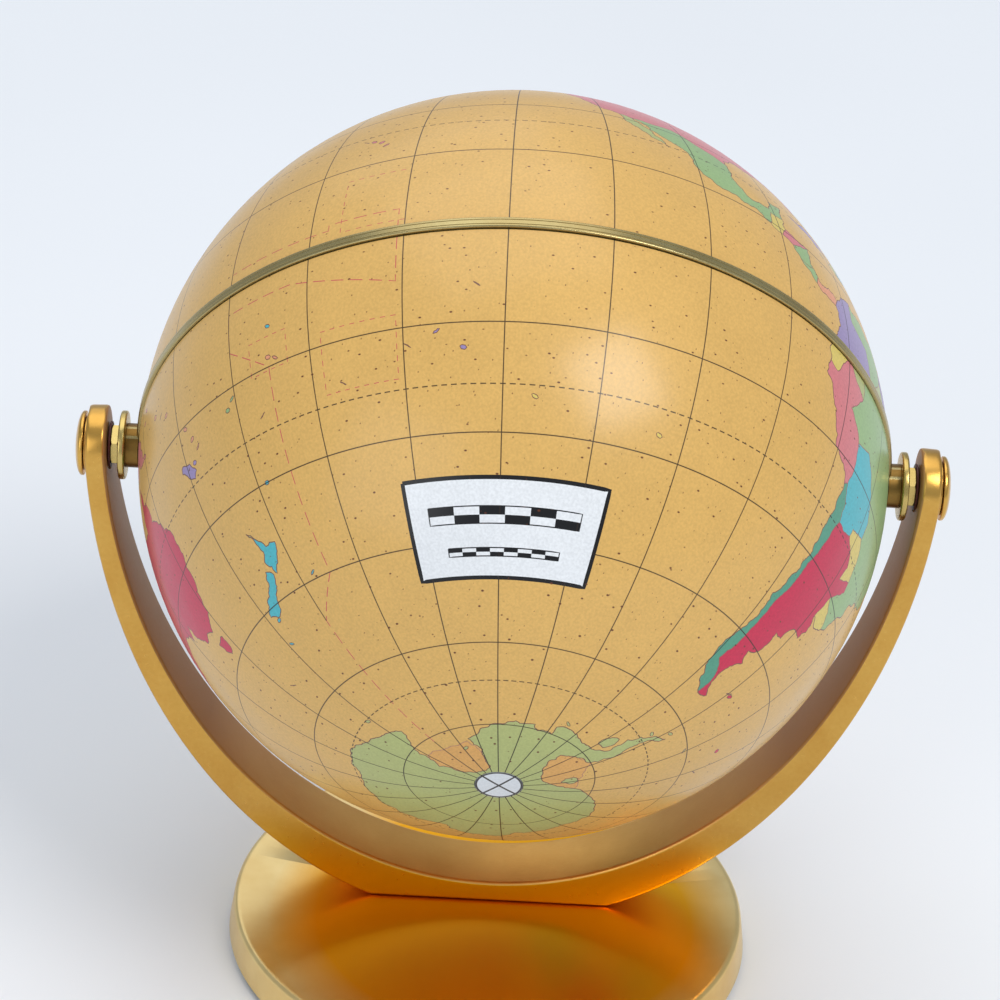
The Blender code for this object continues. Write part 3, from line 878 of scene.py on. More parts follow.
def build_ring(mats):
    """The ring that shows along the equator, with its bosses, its cross bar and its hub."""
    tools = [("UNION", cross_bar()), ("UNION", rod("hub", HUB_R, -HUB_HALF, HUB_HALF))]
    for turn in (-pi / 2, pi / 2):
        along = Matrix.Rotation(turn, 4, "Y")
        boss = rod("boss", RING_BOSS_R, RING_R - 0.33 * MM, RING_BOSS_END, along, 46)
        bore = rod("boss_bore", BOSS_BORE_R, RING_R + 0.05 * MM, 2 * RING_R, along, 44)
        tools += [("UNION", boss), ("DIFFERENCE", bore)]
    tools.append(("DIFFERENCE", rod("hub_bore", HUB_BORE_R, -2 * HUB_HALF, 2 * HUB_HALF, segments=44)))
    band = with_tools(lathe("equator_band", ring_corners(), UPRIGHT, 192, steps=3), tools)
    band.transform(BALL_PLACE)
    shade(band)
    looks = [mats["ring_gold"], mats["boss_shaded_gold"]]
    new_piece("equator_band", band, looks, "gimbal", "equator_ring")
    # Faces on the bosses take a darker gold, a painted shade.
    for face in band.polygons:
        face.material_index = 1 if abs(face.center.x) > RING_R + 0.2 * MM else 0


def build_pole_cap(suffix, turn, mats):
    """Disc on a pole, flush with the ball.  Its points know where they are on it, in millimetres."""
    edge = acos(CAP_R / GLOBE_R)
    arc = [edge + (pi / 2 - edge) * i / 6 for i in range(6)]
    corners = [(0, CAP_LOW_Z, 0), (CAP_R, CAP_LOW_Z, 0)]
    corners += [(GLOBE_R * cos(rise), GLOBE_R * sin(rise), 0) for rise in arc] + [(0, GLOBE_R, 0)]
    place = BALL_PLACE @ Matrix.Rotation(turn, 4, "X")
    cap = lathe(f"pole_disc_{suffix}", corners, place, closed=False)
    to_cap = place.inverted()
    places = [part for vert in cap.vertices for part in (to_cap @ vert.co) / MM]
    cap.attributes.new("cap_place", "FLOAT_VECTOR", "POINT").data.foreach_set("vector", places)
    new_piece(f"pole_disc_{suffix}", cap, [mats["cap"]], "ball", f"pole_cap_{suffix}")


def build_ball(mats):
    """Both printed half shells and the disc on each pole."""
    for name, node, pole in (("map_north", "north_hemisphere", 1), ("map_south", "south_hemisphere", -1)):
        new_piece(name, hemisphere_mesh(name, pole), [mats["map"]], "ball", node)
    build_pole_cap("N", 0, mats)
    build_pole_cap("S", pi, mats)


# Small pieces that keep their CAD meshes.

CARRIED = {
    "steel": ["fork_screw_L", "fork_screw_R", "polar_spindle", "spindle_clip_N", "spindle_clip_S",
              "pole_screw_N", "pole_screw_S"],
    "iron": ["base_weight"],
    "nylon": ["hub_bush", "hub_washer_N", "hub_washer_S"],
}


def finish_carried(mats):
    """Give every carried piece the material it is made of."""
    for mat, nodes in CARRIED.items():
        for node in nodes:
            for slot in frame["nodes"][node].material_slots:
                slot.material = mats[mat]


# Floor, light and camera.

def build_floor():
    """Wide sheet under the globe, which isn't part of the object."""
    bm = bmesh.new()
    bmesh.ops.create_grid(bm, x_segments=8, y_segments=8, size=4.0)
    floor = bpy.data.objects.new("floor", finish("floor", bm))
    bpy.context.scene.collection.objects.link(floor)
    floor.data.materials.append(floor_material())


# Softboxes that face the ball: direction, distance, size, power and colour.
SOFTBOXES = {
    "key": ((0.45, -0.48, 0.75), 1.3, (0.52, 0.52), 7.8, (1.0, 0.98, 0.95)),
    "fill": ((-0.57, -0.75, 0.34), 1.3, (0.8, 0.8), 3.2, (0.98, 0.99, 1.0)),
    "back": ((-0.32, 1.0, 0.74), 1.9, (1.2, 0.8), 1.9, (1.0, 1.0, 1.0)),
    "overhead": ((-0.1, 0.3, 1.0), 1.6, (1.4, 1.4), 8.5, (1.0, 1.0, 1.0)),
}
STUDIO_GLOW = 0.56


def build_light():
    """Pale surroundings and four softboxes."""
    world = bpy.data.worlds.new("studio")
    world.use_nodes = True
    background = world.node_tree.nodes["Background"]
    background.inputs["Color"].default_value = (*STUDIO_WHITE, 1.0)
    background.inputs["Strength"].default_value = STUDIO_GLOW
    bpy.context.scene.world = world
    for name, (way, distance, (width, depth), power, colour) in SOFTBOXES.items():
        light = bpy.data.lights.new(name, "AREA")
        light.shape = "RECTANGLE"
        light.size = width
        light.size_y = depth
        light.energy = power
        light.color = colour
        obj = bpy.data.objects.new(name, light)
        bpy.context.scene.collection.objects.link(obj)
        out = Vector(way).normalized()
        obj.location = CENTRE + out * distance
        obj.rotation_euler = (-out).to_track_quat("-Z", "Y").to_euler()


# How the photograph was taken: where the lens stands from the ball's centre, and how it is turned.
CAMERA_OFFSET = Vector((-5.26, -443.88, 242.32)) * MM
CAMERA_HEADING = 0.0082
CAMERA_DOWN = 0.50955
CAMERA_ROLL = -0.0572
CAMERA_LENS = 128.03


def build_camera():
    """Camera at the photograph's angle."""
    camera = bpy.data.cameras.new("camera")
    camera.lens = CAMERA_LENS
    camera.sensor_width = 36.0
    camera.clip_start = 0.01
    obj = bpy.data.objects.new("camera", camera)
    bpy.context.scene.collection.objects.link(obj)
    obj.matrix_world = (
        Matrix.Translation(CENTRE + CAMERA_OFFSET) @ Matrix.Rotation(-CAMERA_HEADING, 4, "Z")
        @ Matrix.Rotation(pi / 2 - CAMERA_DOWN, 4, "X") @ Matrix.Rotation(-CAMERA_ROLL, 4, "Z")
    )
    bpy.context.scene.camera = obj
    bpy.context.scene.view_settings.view_transform = "Standard"


# The map.  Outlines are drawn in degrees, as (longitude, latitude), with few points.  A seeded
# midpoint wander gives the coasts and borders their detail.

LANDS = {
    "antarctica": [
        (170.5, -71.4), (168, -73.5), (164, -75), (163, -77.5), (158, -80), (163, -82.5), (172, -84.3),
        (-175, -85.2), (-160, -85.5), (-148, -84.5), (-151, -82), (-149, -80.3), (-155, -79),
        (-157, -77.6), (-150, -77), (-146, -75.8), (-137, -74.8), (-125, -74), (-114, -74),
        (-111, -75.2), (-102, -75), (-102, -73.3), (-96, -72.8), (-89, -73), (-82, -73.8), (-76, -73.5),
        (-72, -73.3), (-67.5, -72.2), (-67, -70), (-67.5, -68.2), (-65, -66.3), (-61, -64.3),
        (-57, -63.2), (-57.5, -64.2), (-60.5, -65.3), (-62, -67), (-61.5, -69.5), (-60.5, -72),
        (-61, -74), (-65, -75.6), (-75, -76.5), (-83, -77.8), (-84, -80), (-77, -82), (-65, -83),
        (-50, -82.7), (-42, -81.3), (-36, -79.5), (-34.5, -78), (-29, -76.3), (-25, -75.3), (-18, -73.2),
        (-11, -71.8), (-5, -70.8), (0, -70), (10, -70.2), (20, -70), (30, -69.6), (35, -69.2),
        (39, -69.8), (42, -68), (50, -67), (57, -66.9), (62, -67.5), (68, -68), (71, -70), (74, -69.8),
        (78, -69), (82, -67.5), (90, -66.8), (100, -66.3), (110, -66.4), (120, -66.9), (130, -66.2),
        (137, -66.4), (145, -67), (150, -68.3), (155, -69), (161, -70), (166, -70.5),
    ],
    "berkner_island": [(-50, -78), (-44.5, -77.6), (-42, -79), (-46, -80.3), (-51, -79.6)],
    "alexander_island": [
        (-70.5, -69.2), (-69, -70.8), (-70.5, -72), (-75, -72.2), (-75.5, -70.8), (-73, -69.6),
    ],
    "australia": [
        (142.5, -10.8), (143.6, -14.2), (145.4, -15), (146.3, -18.9), (148.7, -20.3), (150.8, -23),
        (153.2, -25.5), (153.5, -28.5), (152.5, -32.3), (151, -34), (150, -37.2), (147.8, -38),
        (146.3, -39), (144.5, -38.2), (141, -38.3), (139.7, -36.8), (138.2, -35.5), (137.8, -32.7),
        (135.9, -34.9), (134.2, -32.8), (131.2, -31.5), (128.5, -32), (125.8, -32.4), (123.6, -33.9),
        (119.8, -34), (117.8, -35.1), (115.1, -34.3), (115.8, -32), (114.8, -29.5), (113.5, -26.2),
        (113.8, -22.5), (116.8, -20.6), (119, -20), (121.5, -19.2), (122.3, -17.2), (123.6, -16.8),
        (125.2, -14.6), (127.5, -14), (129.5, -14.9), (130.2, -13), (132.6, -11.6), (135.3, -12.1),
        (136.9, -12.2), (135.6, -14.9), (138.6, -16.8), (140.8, -17.5), (141.6, -14.5), (141.9, -12.3),
    ],
    "tasmania": [(144.7, -40.8), (148.2, -40.9), (148, -43), (146.5, -43.6), (145.2, -42.4)],
    "new_zealand_north": [
        (172.8, -34.5), (174.5, -36), (175.5, -36.7), (176, -37.6), (178.5, -37.7), (177.6, -39.3),
        (176.8, -40.4), (175.3, -41.6), (174.9, -40.4), (173.8, -39.3), (174.8, -38), (174.3, -36.9),
    ],
    "new_zealand_south": [
        (172.7, -40.5), (174.3, -41.5), (172.8, -43.5), (171.2, -44.6), (170.5, -46), (168.5, -46.7),
        (166.5, -45.9), (168.3, -44.1), (171, -42.6), (172, -41.2),
    ],
    "new_guinea": [
        (131, -0.9), (134, -0.9), (135, -3.3), (137.8, -1.6), (141, -2.6), (144.5, -3.9), (147.5, -6),
        (147.2, -6.9), (150.8, -10.4), (147.8, -10.1), (144.5, -7.7), (142.5, -9.2), (138.8, -8.2),
        (138, -5.5), (135.5, -4.4), (132.8, -4), (133.2, -2.6),
    ],
    "south_america": [
        (-77.3, 8.5), (-75.5, 10.6), (-72, 12.1), (-71.4, 10.9), (-68, 11.4), (-66, 10.5), (-62, 10.7),
        (-60, 8.5), (-57, 5.9), (-54, 5.8), (-51.5, 4.2), (-50, 1.5), (-48.5, -0.8), (-44.5, -2.6),
        (-40, -2.9), (-37, -4.8), (-35.3, -6), (-34.9, -8.5), (-37.2, -11.2), (-39, -13.5), (-39, -17),
        (-40.9, -21.5), (-43, -22.9), (-46.5, -24.2), (-48.6, -26), (-48.8, -28.5), (-51, -31),
        (-53.5, -34), (-56, -34.9), (-58.3, -34), (-57, -36.5), (-58, -38.3), (-62, -39),
        (-62.5, -40.9), (-64.8, -41), (-64.4, -42.7), (-65.3, -45), (-67.5, -46), (-65.8, -47.8),
        (-68.5, -50.3), (-68.4, -52.3), (-65.2, -54.8), (-68.5, -55.6), (-72, -54.3), (-74.5, -52.2),
        (-75.5, -48.5), (-74.3, -45), (-73, -42), (-73.6, -38), (-72.3, -35), (-71.5, -31.5),
        (-70.8, -27), (-70.3, -22), (-70.3, -18.4), (-75.5, -15), (-78.8, -9), (-81.2, -6),
        (-80.3, -3.4), (-80.8, -1.6), (-80, 0.5), (-78.8, 1.5), (-77.4, 4), (-77.5, 6.3), (-78, 7.4),
    ],
    "north_america": [
        (-168, 65.6), (-162, 66.5), (-166, 68.3), (-156.5, 71.3), (-141, 69.7), (-128, 70.3),
        (-115, 68.5), (-108, 68), (-96, 68), (-94, 71.5), (-85, 69.5), (-81.5, 67.5), (-86.5, 66.5),
        (-87.5, 64), (-93, 61.5), (-94.5, 58.8), (-88, 56.7), (-82.5, 55.2), (-82, 52.8), (-79, 51.3),
        (-79.5, 54.5), (-76.8, 57.2), (-78.3, 60.5), (-77.5, 62.5), (-70, 61), (-65, 58.8),
        (-61.5, 56.3), (-56, 52.5), (-60, 50.2), (-66.5, 50.2), (-64.5, 48.8), (-65, 47), (-60.5, 45.9),
        (-64, 44.5), (-66.2, 43.7), (-67, 44.9), (-70.5, 43.2), (-70, 41.7), (-74, 40.6), (-75.5, 37.8),
        (-75.7, 35.3), (-78, 33.9), (-81.3, 31.3), (-80.1, 26.8), (-80.6, 25.2), (-81.9, 26.4),
        (-82.8, 28.8), (-85, 29.7), (-89.3, 29.3), (-93.8, 29.6), (-97.2, 27.5), (-97.8, 22.3),
        (-96, 19), (-94.5, 18.2), (-91, 18.7), (-90.3, 21), (-87, 21.5), (-88, 18), (-88.6, 15.8),
        (-83.3, 15), (-83.7, 11.5), (-82.2, 9.1), (-79.6, 9.6), (-77.3, 8.5), (-78, 7.4), (-80.3, 7.4),
        (-82.9, 8.2), (-85.8, 10.2), (-87.6, 13), (-91.5, 14), (-94.5, 16.2), (-99.5, 16.8),
        (-105.3, 20), (-105.5, 22.3), (-109.3, 26.2), (-112.8, 30.5), (-114.8, 31.7), (-112.5, 28.5),
        (-111.3, 26), (-109.5, 23.1), (-112.2, 25), (-115, 28), (-116, 30.5), (-117.2, 32.6),
        (-120.6, 34.6), (-122.5, 37.5), (-124.3, 40.4), (-124, 46.2), (-122.8, 48.8), (-127.8, 51),
        (-130.5, 54.8), (-134.5, 58.5), (-139.5, 59.8), (-146, 60.8), (-151.5, 59.3), (-152, 61),
        (-158.5, 56), (-164.8, 54.6), (-160, 57.8), (-157.5, 58.8), (-162, 59.2), (-165.3, 61.5),
        (-161, 64.3), (-166, 64.6),
    ],
    "greenland": [
        (-73, 78.2), (-60, 82), (-33, 83.5), (-20, 81.5), (-20, 76), (-22, 72), (-25, 69.5),
        (-38, 65.8), (-43, 60), (-50, 62), (-53.5, 67), (-52, 70.5), (-57, 74.5), (-66, 76),
    ],
    "baffin_island": [
        (-62, 66.8), (-68, 63), (-72, 64), (-78, 65), (-73, 67.5), (-79, 70.5), (-88, 73.5),
        (-80, 73.7), (-72, 71.3),
    ],
    "victoria_island": [(-117, 70), (-105, 69), (-101, 70), (-105, 73), (-117, 73)],
    "ellesmere_island": [(-90, 76.5), (-78, 76.5), (-62, 82.5), (-75, 83), (-90, 81.5), (-86, 79)],
    "newfoundland": [(-59, 47.8), (-53, 46.8), (-53.5, 48.8), (-56, 51.5)],
    "cuba": [(-84.8, 21.9), (-80, 23.1), (-74.3, 20.2), (-77.5, 19.9), (-78.5, 21.2)],
    "hispaniola": [(-74.4, 18.5), (-72.8, 19.9), (-68.5, 18.6), (-71.5, 17.8)],
    "iceland": [(-22.5, 64), (-24, 65.5), (-22.5, 66.3), (-16, 66.4), (-13.7, 65), (-18.5, 63.4)],
    "great_britain": [
        (-5.5, 50.1), (1.3, 51.2), (1.6, 52.8), (-0.3, 53.5), (-2, 56), (-2, 57.6), (-3.2, 58.6),
        (-5.8, 57.8), (-4.9, 55), (-3, 53.8), (-4.5, 52.8), (-5, 51.7),
    ],
    "ireland": [(-6.4, 52.2), (-5.8, 54.5), (-8, 55.2), (-10, 53.8), (-10, 51.7)],
    "eurasia": [
        (-9, 43.2), (-1.8, 43.4), (-1.2, 46), (-4.7, 48.4), (-1.6, 49.6), (1.7, 50.9), (4.5, 52.5),
        (8.2, 53.8), (8.2, 57), (10.6, 57.7), (10, 54.8), (12.5, 54.3), (18.5, 54.7), (21.2, 55.5),
        (24, 57.3), (23.5, 59.3), (29.5, 59.9), (22.5, 60.1), (21.3, 62.5), (25.3, 65), (22, 65.8),
        (17.2, 61.5), (18.8, 60), (16.5, 57), (14.2, 55.4), (12.5, 56.2), (10.8, 59.2), (7, 58),
        (5, 61), (11, 64.5), (15, 68.3), (25.5, 71), (31, 70.3), (41, 67), (33, 66.7), (37, 63.9),
        (40.5, 64.6), (44, 66.1), (44, 68.4), (54, 68.5), (60.5, 69.8), (68, 68.5), (67, 71), (73, 72),
        (73, 67.5), (80, 72), (87, 75), (104, 77.7), (113, 74), (127, 73.2), (131, 71), (140, 72.7),
        (152, 71), (160, 69.7), (170, 70), (180, 69), (190, 66.2), (180, 64.8), (177.5, 62.5),
        (170.5, 60), (163.2, 58), (162, 55), (156.8, 51.1), (156, 57), (162.5, 61.7), (155, 59.3),
        (142.5, 59.2), (135.5, 54.8), (141, 53), (140.3, 48.5), (135.5, 44.3), (130.8, 42.4),
        (127.5, 39.6), (129.4, 37), (129, 35.2), (126.4, 34.5), (126.7, 37.5), (125, 39.8),
        (121.3, 38.9), (121.8, 40.8), (117.8, 39), (119, 37.2), (122.4, 37), (119.3, 34.9),
        (121.9, 31.5), (121.5, 28.5), (118, 24.5), (113.8, 22.2), (110, 20.5), (108.2, 21.6),
        (105.8, 19), (109.2, 13), (107, 10.4), (104.8, 8.7), (105, 10.5), (102.5, 12.2), (100.5, 13.4),
        (99.3, 11), (100.3, 8), (103.4, 4.5), (103.8, 1.4), (101.3, 2.9), (98.3, 8), (98.6, 13),
        (97.4, 16.5), (94.4, 16), (94.2, 18.8), (91.8, 22.3), (87, 21.4), (82.3, 16.7), (80.2, 15),
        (79.9, 10.4), (77.5, 8.1), (74.8, 12.8), (72.8, 19), (72.4, 21.3), (69, 22.3), (66.8, 25.2),
        (61.5, 25.1), (57, 26.9), (50.5, 29.9), (48, 30), (50, 26.7), (51.5, 25), (54, 24.2),
        (56.4, 26.2), (59.8, 22.5), (55.3, 17.5), (52, 15.5), (45, 12.8), (43.2, 13), (42.7, 16.5),
        (39, 21), (35, 28), (34.9, 29.4), (34.3, 27.8), (32.6, 29.9), (32.3, 31.2), (34.3, 31.3),
        (36, 34.8), (36, 36.8), (30.7, 36.7), (27.3, 37), (26.3, 39.5), (29, 41), (31.5, 41.3),
        (35, 42), (41.5, 41.5), (37.5, 45), (39.3, 47.2), (35.2, 46.2), (36.5, 45.3), (34, 44.4),
        (33, 46), (30.7, 46.5), (28.7, 44), (28, 41.8), (28.9, 41.2), (26.3, 40.7), (23.9, 40.5),
        (23, 39), (24, 38), (22.8, 36.5), (21.3, 37.8), (19.4, 40.5), (19.2, 42), (15, 44.3),
        (13.6, 45.5), (12.4, 44.8), (14, 42.3), (18.4, 40.2), (16.8, 40.4), (16.5, 39), (15.8, 38),
        (15.6, 40), (12.4, 41.7), (10.3, 43.9), (8.8, 44.4), (5, 43.4), (3.1, 42.5), (-0.2, 39.7),
        (-0.6, 38), (-2, 36.8), (-5.5, 36), (-9, 37), (-9.4, 38.8),
    ],
    "africa": [
        (32.3, 31.2), (32.6, 29.9), (34, 26.5), (35.7, 23.8), (37.3, 20), (39.5, 15.5), (43.2, 12.4),
        (42.8, 11), (51.2, 11.8), (48, 4.5), (42, -1), (39.3, -5), (40.6, -10.8), (40.7, -15),
        (35.2, -19.8), (35.5, -24), (32.7, -26.5), (31, -29.8), (27, -33.6), (20, -34.8),
        (18.3, -33.8), (16.5, -28.6), (14.4, -22.5), (11.8, -17), (13.7, -11), (12.3, -6), (8.8, -0.8),
        (9.7, 4), (6, 4.3), (4, 6.4), (1.2, 6), (-2, 4.8), (-7.5, 4.4), (-13, 8.8), (-16.7, 12.3),
        (-17.4, 14.7), (-16.2, 19), (-17, 21), (-14.5, 26), (-10, 29.5), (-9.7, 31.5), (-6, 35.6),
        (-2, 35.2), (3, 36.8), (10, 37.3), (10.8, 35), (10.3, 33.9), (15.2, 32.3), (19, 30.3),
        (20.2, 32.5), (23, 32.6), (29, 30.9),
    ],
    "madagascar": [
        (49.3, -12), (50.3, -15.8), (47.2, -25), (43.8, -23.5), (44.4, -19.8), (44.4, -16.5),
        (47.5, -14.8),
    ],
    "sri_lanka": [(79.9, 9.5), (81.8, 7.5), (80.5, 6), (79.8, 7.5)],
    "sumatra": [(95.3, 5.6), (100, 2.5), (104, -1.5), (105.9, -5.8), (102.3, -4), (98.7, 1.7)],
    "java": [(105.3, -6.5), (108.5, -6.7), (114.4, -7.7), (114.4, -8.7), (106.5, -7.4)],
    "borneo": [
        (109, 1.5), (111.5, 2.7), (116.8, 7), (119, 5.2), (117.6, 1), (116.2, -4), (114, -3.5),
        (110.2, -2.9), (109, -0.3),
    ],
    "sulawesi": [
        (119.8, 0.4), (121, 1.3), (125, 1.6), (120.8, 0.3), (121, -1), (123.3, -0.9), (121.7, -2),
        (122.8, -4.5), (121, -2.8), (120.4, -5.5), (119.5, -3.5),
    ],
    "luzon": [(120.3, 16), (120.8, 18.5), (122.2, 18.3), (121.6, 15.9), (124, 12.7), (121, 13.7)],
    "mindanao": [(122, 7.2), (123.5, 8.7), (125.7, 9.7), (126.4, 7), (125.4, 5.7), (124, 6.7)],
    "taiwan": [(120.1, 23.2), (121.5, 25.2), (121.8, 24.5), (120.8, 22)],
    "hainan": [(108.7, 19.2), (110.8, 20), (110, 18.4)],
    "honshu": [
        (130.9, 34.1), (135.3, 35.6), (137, 37), (139.8, 38.5), (140.3, 41.2), (141.9, 39.5),
        (140.8, 35.8), (138.8, 34.7), (135.8, 33.5), (132.5, 34),
    ],
    "kyushu": [(129.8, 33.2), (131.8, 33.6), (130.7, 31.1)],
    "hokkaido": [(140, 42), (141.7, 45.4), (145.3, 43.4), (143.2, 42.1)],
    "sakhalin": [(142, 46.2), (142.2, 53), (143, 54.3), (143.5, 49)],
    "new_caledonia": [(163.8, -19.8), (167.3, -22.0), (166.4, -22.9), (163.2, -20.7)],
    "novaya_zemlya": [(52, 71), (56, 73.5), (68, 76.8), (57, 71.5)],
    "svalbard": [(11.5, 79), (16, 80), (24, 79.8), (17, 76.7)],
}

# Seas inside the lands, and the floating ice that the map prints a little darker than the ocean.
LAKES = {
    "caspian": [
        (47.5, 43), (49.5, 40.5), (49, 38), (53.8, 37), (53, 40), (51, 44.5), (53, 46.8), (49, 46.5),
    ],
    "superior": [(-92, 46.8), (-88, 48.5), (-84.8, 46.7), (-88, 46.9)],
    "michigan": [(-88, 42), (-86, 42.2), (-85.5, 45.5), (-87.5, 45)],
    "huron": [(-84, 46), (-80.5, 45.5), (-82, 43.2), (-83.5, 44.5)],
    "victoria": [(31.8, 0.3), (34, 0), (33.5, -2.3), (32, -2.5)],
    "baikal": [(104, 51.6), (107.5, 52.8), (109.8, 55.6), (108.5, 53)],
}
ICE_SHELVES = {
    "ross": [
        (165, -77.4), (178, -78), (-170, -78.3), (-158, -78.2), (-154, -79.4), (-148, -83), (-155, -86),
        (175, -86), (157, -82), (156, -79.5),
    ],
    "ronne": [
        (-62, -75), (-55, -76.5), (-45, -77.8), (-35, -78), (-34, -80), (-45, -83), (-70, -83.6),
        (-86, -80), (-84, -77), (-70, -76),
    ],
}

